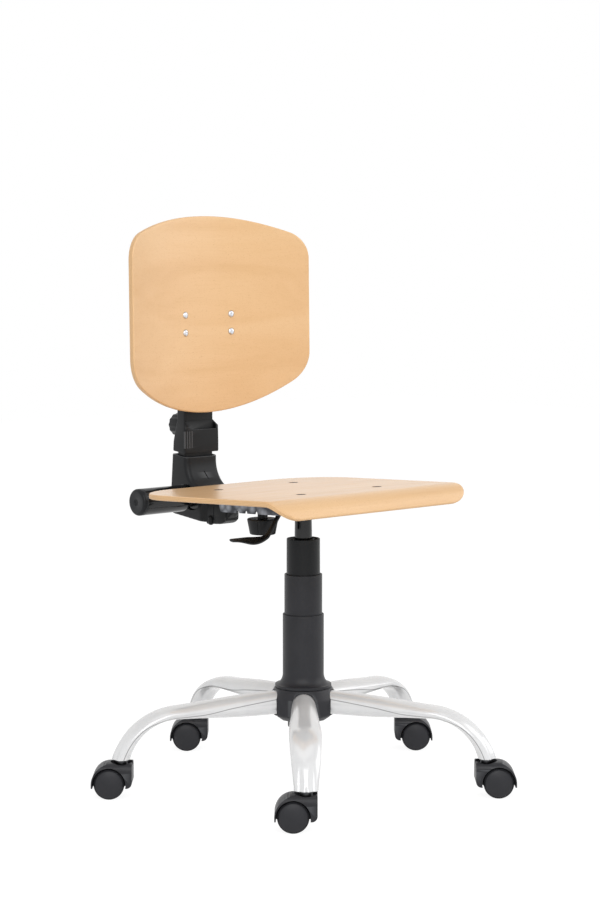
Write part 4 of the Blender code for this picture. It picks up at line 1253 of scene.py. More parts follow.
def build_cover_upper():
    """The narrowest sleeve, with a ring of fingers in the well round the gas cylinder."""
    top = cover_upper_top
    rim = cover_upper_radius - cover_well_rim
    floor = top - cover_well
    bore = cover_upper_radius - cover_wall
    low = top - cover_upper_length
    mesh = lathe("cover_upper", soft_line((
        (gas_hole, floor - cover_lip, 0),
        (gas_hole, floor, 0),
        (rim - cover_well_slope, floor, 0),
        (rim, top, cover_edge),
        (cover_upper_radius - cover_upper_taper, top, cover_edge),
        (cover_upper_radius, low, fine_edge),
        (bore, low, 0),
        (bore, floor - cover_lip, 0),
        (gas_hole, floor - cover_lip, 0),
    )))
    deep, wide, tall = finger_size
    near = gas_hole + finger_from_neck
    for index in range(finger_count):
        corner = (near, -wide / 2, floor - finger_sunk)
        finger = block("finger", corner, (near + deep, wide / 2, floor + tall))
        turn = Matrix.Rotation(2 * math.pi * index / finger_count, 4, "Z")
        mesh = joined(mesh, moved(softened(finger, finger_edge, 2), turn))
    add_piece("cover_upper_finished", mesh, "black_plastic", "cover_upper")


def build_cover_middle():
    top = cover_middle_top
    low = top - cover_middle_length
    bore = cover_middle_radius - cover_wall
    neck = cover_upper_radius + gap
    profile = cover_top(cover_middle_radius, top, neck)
    profile += [
        (cover_middle_radius, low, fine_edge),
        (bore, low, 0),
        (bore, top - cover_lip, 0),
        (neck, top - cover_lip, 0),
    ]
    mesh = lathe("cover_middle", soft_line(profile))
    add_piece("cover_middle_finished", mesh, "black_plastic", "cover_middle", finish="floor_lit_plastic")


def build_cover_lower():
    """The widest sleeve, which flares to a collar on the hub."""
    top = cover_lower_top
    bore = cover_lower_radius - cover_wall
    neck = cover_middle_radius + gap
    base = hub_top + gap
    rim = base + collar_rim
    flare_top = rim + collar_flare_height
    flare_out = collar_radius - cover_lower_radius
    flare = arc(collar_radius, flare_top, flare_out, 180, collar_flare_end, 14, collar_flare_height)
    profile = soft_line(cover_top(cover_lower_radius, top, neck) + [(cover_lower_radius, flare_top, 0)])
    profile += flare[1:]
    profile += soft_line((
        (collar_radius - collar_lip, rim, 0),
        (collar_radius, rim, collar_top_edge),
        (collar_radius, base, collar_foot_edge),
        (bore, base, 0),
        (bore, top - cover_lip, 0),
        (neck, top - cover_lip, 0),
    ))
    mesh = lathe("cover_lower", profile)
    add_piece("cover_lower_finished", mesh, "black_plastic", "cover_lower", finish="floor_lit_plastic")


def build_lift_tube():
    profile = soft_line((
        (lift_tube_bore, lift_tube_top, 0),
        (lift_tube_radius, lift_tube_top, 0),
        (lift_tube_radius, lift_tube_bottom, lift_tube_edge),
        (rod_hole, lift_tube_bottom, 0),
        (rod_hole, lift_floor, 0),
        (lift_tube_bore, lift_floor, 0),
        (lift_tube_bore, lift_tube_top, 0),
    ))
    add_piece("lift_tube_finished", lathe("lift_tube", profile), "black_steel", "lift_tube")


def build_guide_bush():
    flange_low = lift_tube_top + gap
    flange_high = flange_low + bush_flange
    plug = lift_tube_bore - gap
    profile = soft_line((
        (gas_hole, flange_high, 0),
        (lift_tube_radius, flange_high, steel_edge),
        (lift_tube_radius, flange_low, 0),
        (plug, flange_low, 0),
        (plug, bush_bottom, 0),
        (gas_hole, bush_bottom, 0),
        (gas_hole, flange_high, 0),
    ))
    add_piece("guide_bush_finished", lathe("guide_bush", profile), "black_plastic", "guide_bush")


def build_thrust_bearing():
    profile = ring_profile(rod_hole, bearing_radius, bearing_low, bearing_top, steel_edge, steel_edge)
    add_piece("thrust_bearing_finished", lathe("thrust_bearing", profile), "steel", "thrust_bearing")


def build_piston_rod():
    """A rod with a shoulder on the bearing and an end under the tube's floor."""
    shoulder = rod_radius + rod_shoulder
    shoulder_low = bearing_top + gap
    end_high = lift_tube_bottom - gap
    profile = soft_line((
        (0, rod_top, 0),
        (rod_radius, rod_top, steel_edge),
        (rod_radius, shoulder_low + rod_shoulder_height, 0),
        (shoulder, shoulder_low + rod_shoulder_height, fine_edge),
        (shoulder, shoulder_low, 0),
        (rod_radius, shoulder_low, 0),
        (rod_radius, end_high, 0),
        (shoulder, end_high, 0),
        (shoulder, end_high - rod_end_height, steel_edge),
        (0, end_high - rod_end_height, 0),
    ))
    mesh = lathe("piston_rod", profile, small_round_steps)
    add_piece("piston_rod_finished", mesh, "steel", "piston_rod")


def build_gas_cylinder():
    valve_hole = valve_radius + gap
    profile = soft_line((
        (0, gas_top - valve_hole_depth, 0),
        (valve_hole, gas_top - valve_hole_depth, 0),
        (valve_hole, gas_top, 0),
        (gas_tip_radius, gas_top, gas_edge),
        (gas_radius, gas_top - gas_taper_length, gas_shoulder_edge),
        (gas_radius, gas_bottom, gas_edge),
        (rod_hole, gas_bottom, 0),
        (rod_hole, rod_top + rod_headroom, 0),
        (0, rod_top + rod_headroom, 0),
    ))
    add_piece("gas_cylinder_finished", lathe("gas_cylinder", profile), "black_steel", "gas_cylinder")


def build_valve_pin():
    top = gas_top + valve_reach
    profile = soft_line((
        (0, top, 0),
        (valve_radius, top, steel_edge),
        (valve_radius, top - valve_length, 0),
        (0, top - valve_length, 0),
    ))
    mesh = lathe("valve_pin", profile, small_round_steps)
    add_piece("valve_pin_finished", mesh, "steel", "valve_pin")


def build_taper_socket():
    top = under_plate(socket_radius)
    profile = ring_profile(gas_hole, socket_radius, top - socket_length, top, socket_edge, 0)
    ahead, behind, deep = lever_slot
    slot = block("slot", (-through, -ahead, top - deep), (0, behind, through))
    mesh = cut(lathe("taper_socket", profile), slot)
    add_piece("taper_socket_finished", mesh, "black_steel", "taper_socket")


# Boards

def board_mesh(name, outline, place, thickness, rim=board_rim, loops=26, edge_steps=8):
    """A sheet with rounded rims. place gives a point from its outline and a depth from 0 to 1.

    Its cut edge has the second material and a rim map: the length round the edge and the depth.
    """
    turn_steps = 5
    share = rim / thickness
    top_rim = []
    for k in range(turn_steps + 1):
        angle = math.pi / 2 * k / turn_steps
        top_rim.append((rim * (1 - math.sin(angle)), share * (1 - math.cos(angle))))
    edge = [(0, share + (1 - 2 * share) * k / edge_steps) for k in range(1, edge_steps)]
    rim_steps = top_rim + edge + [(drawn_in, 1 - depth) for drawn_in, depth in reversed(top_rim)]
    shape = bmesh.new()
    rim_map = shape.loops.layers.uv.new("rim")
    inner = inset(outline, rim)
    count = len(outline)
    middle_x = sum(x for x, y in outline) / count
    middle_y = sum(y for x, y in outline) / count
    lengths = [0]
    for (x0, y0), (x1, y1) in zip(outline, outline[1:] + outline[:1]):
        lengths.append(lengths[-1] + math.hypot(x1 - x0, y1 - y0))
    levels = []
    for k in range(1, loops):
        reach = k / loops
        ring = [(middle_x + (x - middle_x) * reach, middle_y + (y - middle_y) * reach) for x, y in inner]
        levels.append((ring, 0))
    under = [(ring, 1) for ring, depth in reversed(levels)]
    levels += [(inset(outline, drawn_in), depth) for drawn_in, depth in rim_steps] + under
    rings = [[shape.verts.new(place(x, y, depth)) for x, y in ring] for ring, depth in levels]
    first_rim = loops - 1 + turn_steps // 2
    last_rim = loops - 1 + len(rim_steps) - 1 - turn_steps // 2
    for level in range(len(rings) - 1):
        on_edge = first_rim <= level < last_rim
        for i in range(count):
            j = (i + 1) % count
            corners = (rings[level][i], rings[level][j], rings[level + 1][j], rings[level + 1][i])
            face = shape.faces.new(corners)
            face.material_index = int(on_edge)
            spots = (
                (lengths[i], levels[level][1]),
                (lengths[i + 1], levels[level][1]),
                (lengths[i + 1], levels[level + 1][1]),
                (lengths[i], levels[level + 1][1]),
            )
            for loop, spot in zip(face.loops, spots):
                loop[rim_map].uv = spot
    for ring, depth in ((rings[0], 0), (rings[-1], 1)):
        centre = shape.verts.new(place(middle_x, middle_y, depth))
        for i in range(count):
            shape.faces.new((ring[i], ring[(i + 1) % count], centre))
    mesh = finished_mesh(name, shape, 60)
    mesh.materials.append(finishes["beech"])
    mesh.materials.append(edge_finish)
    return mesh


def seat_surface(x, y, depth):
    """A point of the seat sheet: flat, then bent down at its front."""
    angle = max(seat_bend_start - y, 0) / seat_bend_radius
    spoke = seat_bend_radius - seat_thickness * depth
    flat_y = max(y, seat_bend_start)
    return (x, flat_y - spoke * math.sin(angle), spoke * math.cos(angle) - seat_bend_radius)


def back_surface(x, z, depth):
    """A point of the back sheet, bent about an upright axis in front of it."""
    outside = back_curve_radius + back_thickness
    front = math.sqrt(back_curve_radius**2 - x**2)
    rear = math.sqrt(outside**2 - x**2)
    return (x, front + (rear - front) * depth - back_curve_radius, z)


def back_outline():
    """Half the board's edge from bottom middle to top middle, then the other half."""
    low_centre = back_bottom_radius - back_drop
    low_x = back_half_width - back_bottom_corner
    low_rise = math.sqrt((back_bottom_radius - back_bottom_corner) ** 2 - low_x**2)
    low_angle = math.degrees(math.atan2(-low_rise, low_x))
    high_centre = back_rise - back_top_radius
    high_x = back_half_width - back_top_corner
    high_rise = math.sqrt((back_top_radius - back_top_corner) ** 2 - high_x**2)
    high_angle = math.degrees(math.atan2(high_rise, high_x))
    half = arc(0, low_centre, back_bottom_radius, -90, low_angle, 18)
    half += arc(low_x, low_centre - low_rise, back_bottom_corner, low_angle, 0, 16)[1:]
    half += arc(high_x, high_centre + high_rise, back_top_corner, 0, high_angle, 14)
    half += arc(0, high_centre, back_top_radius, high_angle, 90, 18)[1:]
    return half + [(-x, z) for x, z in reversed(half[1:-1])]


def bolt_places():
    places = []
    for y in (bolt_centre_y - bolt_spacing_y / 2, bolt_centre_y + bolt_spacing_y / 2):
        for x in (-bolt_spacing_x / 2, bolt_spacing_x / 2):
            places.append(Matrix.Translation((x, y, 0)))
    return places


def screw_places():
    places = []
    for z in (-screw_spacing_z / 2, screw_spacing_z / 2):
        for x in (-screw_spacing_x / 2, screw_spacing_x / 2):
            turn = Matrix.Rotation(-math.asin(x / back_curve_radius), 4, "Z")
            about = Matrix.Translation((0, -back_curve_radius, z)) @ turn
            places.append(about @ Matrix.Translation((0, back_curve_radius, 0)) @ along_y)
    return places


def wooden_cutter(mesh):
    mesh.materials.append(edge_finish)
    return mesh


def build_seat_board():
    front = seat_bend_start - seat_bend_radius * seat_bend_angle
    outline = rounded_rectangle(seat_half_width, front, seat_rear, seat_front_corner, seat_rear_corner, 16)
    mesh = board_mesh("seat", dense(outline, board_spacing), seat_surface, seat_thickness, loops=44)
    for spot in bolt_places():
        hole = soft_line((
            (0, -through, 0),
            (bolt_radius + gap, -through, 0),
            (bolt_radius + gap, -bolt_recess, 0),
            (bolt_head_radius + 2 * gap, -bolt_recess, 0),
            (bolt_head_radius + 2 * gap, bolt_hole_over, 0),
            (0, bolt_hole_over, 0),
        ))
        mesh = cut(mesh, wooden_cutter(moved(lathe("hole", hole, small_round_steps), spot)))
    add_piece("seat_panel", smoothed(mesh, 50), "beech", "seat_board", seat_frame)


def build_back_board():
    mesh = board_mesh("back", dense(back_outline(), board_spacing), back_surface, back_thickness)
    for spot in screw_places():
        hole = rod("hole", screw_head_radius + 2 * gap, -screw_seat_depth, cut_over)
        mesh = cut(mesh, wooden_cutter(moved(hole, spot)))
    add_piece("back_panel", smoothed(mesh, 50), "beech", "back_board", back_frame)


def hexagon(radius):
    return arc(0, 0, radius, 0, 300, 5)


def build_seat_bolts():
    """Cup-headed bolts with a socket, each with its nut under the plate."""
    head_low = gap - bolt_recess
    head_high = head_low + bolt_head_height
    cup_radius = bolt_head_radius - bolt_head_rim
    cup_floor = head_low + bolt_head_floor
    nut_high = -seat_thickness - plate_thickness - 2 * gap
    nut_low = nut_high - nut_height
    profile = soft_line((
        (0, cup_floor, 0),
        (cup_radius, cup_floor, fine_edge),
        (cup_radius, head_high, bolt_rim_edge),
        (bolt_head_radius, head_high, bolt_rim_edge),
        (bolt_head_radius, head_low, 0),
        (bolt_radius, head_low, 0),
        (bolt_radius, nut_low - bolt_tip, fine_edge),
        (0, nut_low - bolt_tip, 0),
    ))
    socket = prism("socket", hexagon(bolt_socket_radius), cup_floor - bolt_socket_depth, through)
    nut = softened(prism("nut", hexagon(nut_radius), nut_low, nut_high), fine_edge, 2)
    bolt = joined(cut(lathe("bolt", profile, small_round_steps), socket), nut)
    for number, spot in enumerate(bolt_places(), 1):
        node = f"seat_bolt_{number}"
        add_piece(f"{node}_finished", bolt, "black_steel", node, seat_frame @ spot, finish="steel")


def build_back_screws():
    """Dome-headed screws with a socket."""
    low = gap - screw_seat_depth
    tip = gap - screw_length
    profile = arc(0, low, screw_head_radius, 90, 0, 14, screw_head_height)
    profile += [(screw_radius, low), (screw_radius, tip), (0, tip)]
    socket_floor = low + screw_head_height - screw_socket_depth
    socket = prism("socket", hexagon(screw_socket_radius), socket_floor, through)
    screw = cut(lathe("screw", profile, small_round_steps), socket)
    for number, spot in enumerate(screw_places(), 1):
        node = f"back_screw_{number}"
        # Their lighter zinc holds a painted highlight
        add_piece(f"{node}_finished", screw, "zinc", node, back_frame @ spot, finish="zinc_painted_highlight")


# Seat plate

def under_plate(y):
    """How high a piece may reach to seat against the plate's underside."""
    depth = seat_thickness + gap + plate_thickness
    return seat_height - y * math.tan(seat_tilt) - depth / math.cos(seat_tilt) - gap


def build_seat_plate():
    """A pressed plate with turned-down, scalloped sides, two ribs and a tongue under the hinge."""
    top = -seat_thickness - gap
    low = top - plate_thickness
    waist_x = plate_half_width - plate_waist
    half = [
        (waist_x, plate_front, plate_corner),
        (plate_half_width, plate_front + plate_waist, plate_corner),
        (plate_half_width, plate_rear - plate_waist, plate_corner),
        (waist_x, plate_rear, plate_corner),
        (plate_tongue_half_width + plate_waist, plate_rear, tongue_root_corner),
        (plate_tongue_half_width, plate_rear + plate_waist, tongue_root_corner),
        (plate_tongue_half_width, plate_tongue_rear, tongue_corner),
    ]
    corners = half + [(-x, y, rounding) for x, y, rounding in reversed(half)]
    mesh = prism("plate", soft_line(corners, closed=True), low, top)
    flange_low = top - plate_flange
    for side in (-1, 1):
        outline = [
            (plate_flange_front, flange_low, flange_corner),
            (plate_flange_rear, flange_low, flange_corner),
            (plate_flange_rear + flange_splay, top - plate_thickness / 2, 0),
            (plate_flange_front - flange_splay, top - plate_thickness / 2, 0),
        ]
        inner = side * (plate_half_width - plate_thickness)
        outer = side * plate_half_width
        flange = prism("flange", soft_line(outline, closed=True), min(inner, outer), max(inner, outer))
        moved(flange, along_x)
        for middle in notch_places:
            taller = Matrix.Scale(notch_height / notch_radius, 4, (0, 0, 1))
            spot = Matrix.Translation((0, middle, flange_low)) @ taller
            notch = rod("notch", notch_radius, -through, through)
            flange = cut(flange, moved(notch, spot @ along_x))
        mesh = joined(mesh, flange)
        rib = rod("rib", rib_radius, -rib_half_length, rib_half_length)
        shallower = Matrix.Scale(rib_flatness, 4, (0, 0, 1))
        spot = Matrix.Translation((side * rib_offset, rib_centre_y, low)) @ shallower
        mesh = joined(mesh, moved(rib, spot @ along_y))
    for spot in bolt_places():
        mesh = cut(mesh, moved(rod("hole", bolt_radius + gap, -through, through), spot))
    mesh = softened(mesh, fine_edge, 2, 50)
    mesh = moved(mesh, seat_frame)
    stud = rod("stud", tilt_stud_radius + gap, 0, through)
    mesh = cut(mesh, moved(stud, Matrix.Translation((tilt_knob_x, tilt_knob_y, 0))))
    # Its darkened zinc holds painted shade
    add_piece("seat_plate_finished", mesh, "zinc", "seat_plate")


# Back hinge

def build_spring_tube():
    bore = tube_radius - tube_wall
    profile = soft_line((
        (bore, tube_left_reach, 0),
        (tube_radius, tube_left_reach, tube_edge),
        (tube_radius, tube_waist_inner, waist_inner_edge),
        (tube_waist_radius, tube_waist_inner, 0),
        (tube_waist_radius, tube_waist_outer, 0),
        (tube_radius, tube_waist_outer, waist_outer_edge),
        (tube_radius, -tube_right_reach, tube_edge),
        (bore, -tube_right_reach, 0),
        (bore, tube_waist_outer - tube_wall, 0),
        (tube_waist_radius - tube_wall, tube_waist_outer - tube_wall, 0),
        (tube_waist_radius - tube_wall, tube_waist_inner + tube_wall, 0),
        (bore, tube_waist_inner + tube_wall, 0),
        (bore, tube_left_reach, 0),
    ))
    mesh = moved(lathe("tube", profile), along_x)
    add_piece("spring_tube_finished", mesh, "black_steel", "spring_tube", hinge_frame)


def build_tube_caps():
    """Plugged caps with a dimple inside a low ring."""
    end = gap + cap_thickness
    crown = end + cap_crown
    plug = tube_radius - tube_wall - gap
    profile = arc(0, crown, cap_dimple_radius, 270, 352, 8, cap_dimple_depth + cap_crown)
    shoulder = tube_radius - cap_rounding
    profile += [(cap_dimple_radius + cap_ring_width, end + cap_ring_rise), (shoulder, crown)]
    profile += arc(shoulder, end - cap_rounding, cap_rounding, 88, 0, 10)
    profile += [(tube_radius, gap), (plug, gap), (plug, gap - cap_plug_length), (0, gap - cap_plug_length)]
    cap = lathe("cap", profile)
    for side, turn, x in (("left", 0, tube_left_reach), ("right", math.pi, -tube_right_reach)):
        facing = Matrix.Translation((x, 0, 0)) @ hinge_frame @ Matrix.Rotation(turn, 4, "Z") @ along_x
        node = f"tube_cap_{side}"
        add_piece(f"{node}_finished", cap, "black_plastic", node, facing)


def hinge_side(step):
    """The housing's side: nose, sloping bottom, heel behind the tube, then forward under the plate."""
    side = arc(nose_rounding - nose_reach, -nose_drop, nose_rounding + step, 180, 255, 14)
    side += [(y, z - step) for y, z in (housing_low, housing_rear)]
    side += arc(*heel_middle, heel_radius + step, -60, 60, 12)
    side += [cheek_rear, (0, 0)]
    for y in (-cheek_front_reach, -nose_reach):
        side.append((y, under_plate(hinge_y + y) - hinge_z))
    return side


def hinge_plan(step):
    """The housing from above: wide round the tube, narrow at its rounded nose."""
    reach = nose_half_width + step
    nose = arc(0, nose_taper - nose_reach, reach, 180, 360, 24, nose_taper + step)
    spread = hinge_half_width - nose_half_width - band_rear_reach
    half = [(reach, -band_rear_reach), (hinge_half_width, spread), (hinge_half_width, nose_reach)]
    return nose + mirrored(half)


def hinge_solid(step):
    half = hinge_half_width + band_step
    solid = moved(prism("side", hinge_side(step), -half, half), along_x)
    return common(solid, prism("plan", hinge_plan(step), -through, through))


def build_hinge():
    """A rounded housing with a band round its front, a small boss at each side of the band."""
    room = bar_half_width + gap
    mesh = moulded(hinge_solid(0))
    mesh = cut(mesh, moved(rod("ring_room", ring_radius + 2 * gap, -room, room, bore_steps), along_x))
    mesh = cut(mesh, moved(rod("tunnel", tube_radius + gap, -through, through, bore_steps), along_x))
    add_piece("hinge_housing", mesh, "black_plastic", "hinge_cover", hinge_frame)
    span_low = (-through, -band_front_reach, -through)
    span = block("span", span_low, (through, -band_rear_reach, through))
    band = common(moulded(hinge_solid(band_step)), span)
    boss_x, boss_y = boss_place
    for side in (-1, 1):
        ball = boss_radius * boss_flatness
        profile = arc(0, boss_low + ball, boss_radius, -90, 0, 8, ball)
        profile += arc(0, boss_high - ball, boss_radius, 0, 90, 8, ball)
        spot = Matrix.Translation((side * boss_x, boss_y, 0))
        band = joined(band, moved(lathe("boss", profile, small_round_steps), spot))
        outer = side * (nose_half_width + groove_reach)
        inner = side * (nose_half_width + groove_floor)
        groove_from = (min(inner, outer), groove_place - groove_half_width, groove_low)
        groove_to = (max(inner, outer), groove_place + groove_half_width, groove_high)
        band = cut(band, block("groove", groove_from, groove_to))
    band = softened(band, band_edge / 2, 2, 50)
    add_piece("hinge_band", band, "black_plastic", "hinge_cover", hinge_frame, replace=False)


def upright_front_line(share):
    """The cover's front from the flare's foot at 0 to the rim at 1, with the rear point beside it."""
    flare_y = upright_front - upright_flare_radius
    straight = upright_front_top - upright_flare_height
    curved = upright_flare_radius * upright_flare_angle
    along = share * (curved + straight)
    if along < curved:
        angle = -upright_flare_angle + along / upright_flare_radius
        y = flare_y + upright_flare_radius * math.cos(angle)
        z = upright_flare_height + upright_flare_radius * math.sin(angle)
    else:
        y = upright_front
        z = upright_flare_height + along - curved
    rear_y = upright_rear_bottom[0] + (upright_rear - upright_rear_bottom[0]) * share
    rear_z = upright_rear_bottom[1] + (upright_top - upright_rear_bottom[1]) * share
    return Vector((0, y, z)), Vector((0, rear_y, rear_z))


def upright_ring(share, drawn_in=0, lowered=0):
    """A level of the cover: a rectangle with wide rounded front corners."""
    front, rear = upright_front_line(share)
    depth = (rear - front).length
    along = (rear - front).normalized()
    half = upright_half_width - drawn_in
    corner = min(upright_front_corner, depth * upright_corner_share)
    outline = rounded_rectangle(half, drawn_in, depth - drawn_in, corner, upright_rear_corner, 10)
    return [front + along * deep + Vector((across, 0, -lowered)) for across, deep in outline]


def build_upright():
    bar = frame["nodes"]["upright_bar"]
    bar.data.materials.clear()
    bar.data.materials.append(finishes["black_steel"])
    rings = [upright_ring(*level) for level in upright_foot_levels]
    rings += [upright_ring(step / upright_steps) for step in range(1, upright_steps)]
    rings += [upright_ring(*level) for level in upright_top_levels]
    rings.append(upright_ring(1, upright_rim + upright_rim_taper, upright_rim_depth))
    mesh = skin("upright", rings, sharp_angle=30)
    collar = rounded_rectangle(collar_half_width, collar_front, collar_rear, collar_corner, collar_corner)
    collar_low = upright_front_top - upright_rim_depth - collar_sunk
    mesh = joined(mesh, prism("collar", collar, collar_low, skirt_bottom + collar_sunk - hinge_z))
    room = bar_half_width + gap
    bar_low = (-room, bar_front - hinge_y - gap, -through)
    bar_high = (room, bar_front - hinge_y + bar_thickness + gap, through)
    mesh = cut(mesh, block("bar_room", bar_low, bar_high))
    mesh = cut(mesh, moved(rod("ring_room", ring_radius + gap, -room, room, bore_steps), along_x))
    mesh = cut(mesh, moved(rod("tunnel", tube_radius + 2 * gap, -through, through, bore_steps), along_x))
    wide, deep, tall = slit_size
    slit = block("slit", (-wide / 2, -deep / 2, -tall / 2), (wide / 2, deep / 2, tall / 2))
    slit_x, slit_z = slit_place
    sine = (slit_z - upright_flare_height) / upright_flare_radius
    slit_y = upright_front - upright_flare_radius * (1 - math.sqrt(1 - sine**2))
    tilt = Matrix.Rotation(math.asin(sine), 4, "X")
    spot = Matrix.Translation((slit_x, slit_y, slit_z)) @ tilt @ Matrix.Rotation(slit_turn, 4, "Y")
    mesh = cut(mesh, moved(slit, spot))
    # The finish paints a highlight on the cover's rim and edges
    add_piece("upright_shell", mesh, "black_plastic", "upright_cover", hinge_frame, finish="plastic_painted_edge_highlight")


# Back sleeve

def sleeve_ring(height, front_half, rear_half, front, rear, drawn_in=0, dip=0):
    """A level of the sleeve, drawn in all round and lower at its front by dip."""
    corner = skirt_corner
    far_half = rear_half - drawn_in
    low = front + drawn_in
    high = rear - drawn_in
    outline = rounded_rectangle(front_half - drawn_in, low, high, corner, corner, 8, far_half)
    return [(x, y, height - dip * (rear - y) / (rear - front)) for x, y in outline]


def build_sleeve():
    """A skirt that narrows to a neck, open at its front top, with grip ribs."""
    skirt = (skirt_front, skirt_rear)
    neck = (neck_half_width, neck_half_width, neck_front, neck_rear)
    widths = skirt_levels[0][1:]
    rings = [sleeve_ring(skirt_bottom + skirt_hollow, *widths, *skirt, skirt_wall)]
    for rise, drawn_in in skirt_foot_levels:
        rings.append(sleeve_ring(skirt_bottom + rise, *widths, *skirt, drawn_in, skirt_dip))
    rings += [sleeve_ring(*level, *skirt) for level in skirt_levels[1:]]
    rings += [
        sleeve_ring(neck_low, *neck),
        sleeve_ring(neck_top - neck_edge, *neck),
        sleeve_ring(neck_top, *neck, neck_edge),
    ]
    mesh = skin("sleeve", rings)
    face = neck_front - gap
    opening = (
        (pocket_left, front_wall_top),
        (pocket_right, front_wall_top),
        (pocket_right, neck_top),
        (pocket_left - notch_reach, neck_top),
        (pocket_left - notch_reach, front_wall_top + notch_rise),
    )
    mesh = cut(mesh, moved(prism("opening", opening, -face, 0), along_y))
    pocket_low = (pocket_left, face - pocket_width, pocket_floor)
    mesh = cut(mesh, block("pocket", pocket_low, (pocket_right, face, front_wall_top)))
    mesh = softened(mesh, fine_edge, 2, 50)
    room = bar_half_width + gap
    bar_low = (-room, bar_front - gap, 0)
    bar_high = (room, bar_front + bar_thickness + gap, bar_top + bar_room_above)
    mesh = cut(mesh, block("bar_room", bar_low, bar_high))
    bead = rod("bead", rim_bead_radius, pocket_left, pocket_right, 16)
    bead_spot = Matrix.Translation((0, skirt_front + rim_bead_radius, front_wall_top))
    mesh = joined(mesh, moved(bead, bead_spot @ along_x))
    for x in grip_rib_places:
        rib = rod("rib", grip_rib_radius, grip_rib_low, grip_rib_high, 16)
        mesh = joined(mesh, moved(rib, Matrix.Translation((x, skirt_front + grip_rib_sunk, 0))))
    add_piece("sleeve_body", mesh, "black_plastic", "back_sleeve")


def head_surface(x, z, depth):
    """A point of the sleeve's head, bent like the back board that it carries."""
    front = math.sqrt((back_curve_radius + back_thickness + gap) ** 2 - x**2)
    return (x, front + head_thickness * depth - back_curve_radius, z)


def build_sleeve_head():
    low = head_middle - head_half_height
    high = head_middle + head_half_height
    outline = rounded_rectangle(head_half_width, low, high, head_corner, head_corner, 8)
    head = board_mesh("head", dense(outline, head_spacing), head_surface, head_thickness, head_rim, 12)
    head.materials.clear()
    head.polygons.foreach_set("material_index", [0] * len(head.polygons))
    add_piece("sleeve_head", head, "black_plastic", "back_sleeve", back_frame, replace=False)


# Controls

def knob_rings(levels, lobes, groove, sharpness):
    rings = []
    for height, radius in levels:
        share = radius / levels[len(levels) // 2][1]
        outline = lobed(radius, lobes, groove * share, sharpness)
        rings.append([(x, y, height) for x, y in outline])
    return rings


def knob_levels(low, low_radius, high, high_radius):
    """Heights and radii up a knob's side, rounded at both ends."""
    levels = arc(low_radius - knob_edge, low + knob_edge, knob_edge, 270, 360, 5)
    levels += arc(high_radius - knob_edge, high - knob_edge, knob_edge, 0, 90, 5)
    return [(height, radius) for radius, height in levels]


def build_height_knob():
    """The clamp knob: a lobed grip with a dish in its face, a neck and a stud."""
    face_radius = height_knob_radius - height_knob_taper
    levels = knob_levels(0, face_radius, height_knob_thickness, height_knob_radius)
    mesh = skin("height_knob", knob_rings(levels, height_knob_lobes, height_knob_groove, 1))
    dish = [(0, -dish_over), (dish_radius, -dish_over), (dish_floor_radius, dish_depth), (0, dish_depth)]
    mesh = cut(mesh, lathe("dish", dish))
    neck_end = height_knob_thickness + height_knob_neck - gap
    mesh = joined(mesh, rod("neck", height_knob_neck_radius, height_knob_thickness / 2, neck_end))
    stud_end = neck_end + skirt_rear - bar_front - bar_thickness - gap
    mesh = joined(mesh, rod("stud", height_stud_radius, height_knob_thickness, stud_end))
    facing = Matrix.Translation((0, skirt_rear + height_knob_neck + height_knob_thickness, height_knob_z))
    add_piece("clamp_grip", mesh, "black_plastic", "height_knob", facing @ along_y)


def build_tilt_knob():
    """The tension knob: a tapered, grooved grip, hollow underneath, hanging on its stud."""
    bottom = tilt_knob_top - tilt_knob_thickness
    levels = knob_levels(bottom, tilt_knob_bottom_radius, tilt_knob_top, tilt_knob_top_radius)
    rings = knob_rings(levels, tilt_knob_lobes, tilt_knob_groove, tilt_groove_sharpness)
    hollow_radius = tilt_knob_bottom_radius - tilt_hollow_wall
    hollow = rod("hollow", hollow_radius, bottom - cut_over, bottom + tilt_hollow_depth)
    mesh = cut(skin("tilt_knob", rings), hollow)
    neck_low = tilt_knob_top - tilt_knob_neck / 2
    mesh = joined(mesh, rod("neck", tilt_knob_neck_radius, neck_low, tilt_knob_top + tilt_knob_neck))
    stud_top = under_plate(tilt_knob_y) + plate_thickness / 2
    mesh = joined(mesh, rod("stud", tilt_stud_radius, tilt_knob_top, stud_top))
    spot = Matrix.Translation((tilt_knob_x, tilt_knob_y, 0))
    add_piece("tension_grip", mesh, "black_plastic", "tilt_knob", spot)


def build_lever():
    """A bent flat rod ending in a twisted paddle."""
    tracks = [list(enumerate(column)) for column in zip(*lever_stations)]
    samples = []
    for step in range((len(lever_stations) - 1) * lever_span_steps + 1):
        samples.append([through_points(track, step / lever_span_steps) for track in tracks])
    spots = [Vector(sample[:3]) for sample in samples]
    rings = []
    for i, sample in enumerate(samples):
        width, thickness, twist = sample[3:]
        before = spots[max(i - 1, 0)]
        after = spots[min(i + 1, len(spots) - 1)]
        along = (after - before).normalized()
        turn = Matrix.Rotation(math.radians(twist), 3, along)
        up = turn @ along.cross(Vector((0, -1, 0))).normalized()
        across = along.cross(up)
        ring = []
        for a, b in arc(0, 0, 1, 0, 360, lever_ring_steps)[:-1]:
            wide = math.copysign(abs(a) ** lever_squareness, a) * width / 2
            thick = math.copysign(abs(b) ** lever_squareness, b) * thickness / 2
            ring.append(spots[i] + across * wide + up * thick)
        rings.append(ring)
    mesh = softened(skin("lever", rings, sharp_angle=50), lever_edge, 2, 60)
    pivot = Matrix.Translation((0, 0, lever_pivot_z))
    add_piece("lever_paddle", mesh, "black_plastic", "lift_lever", pivot)


# Studio

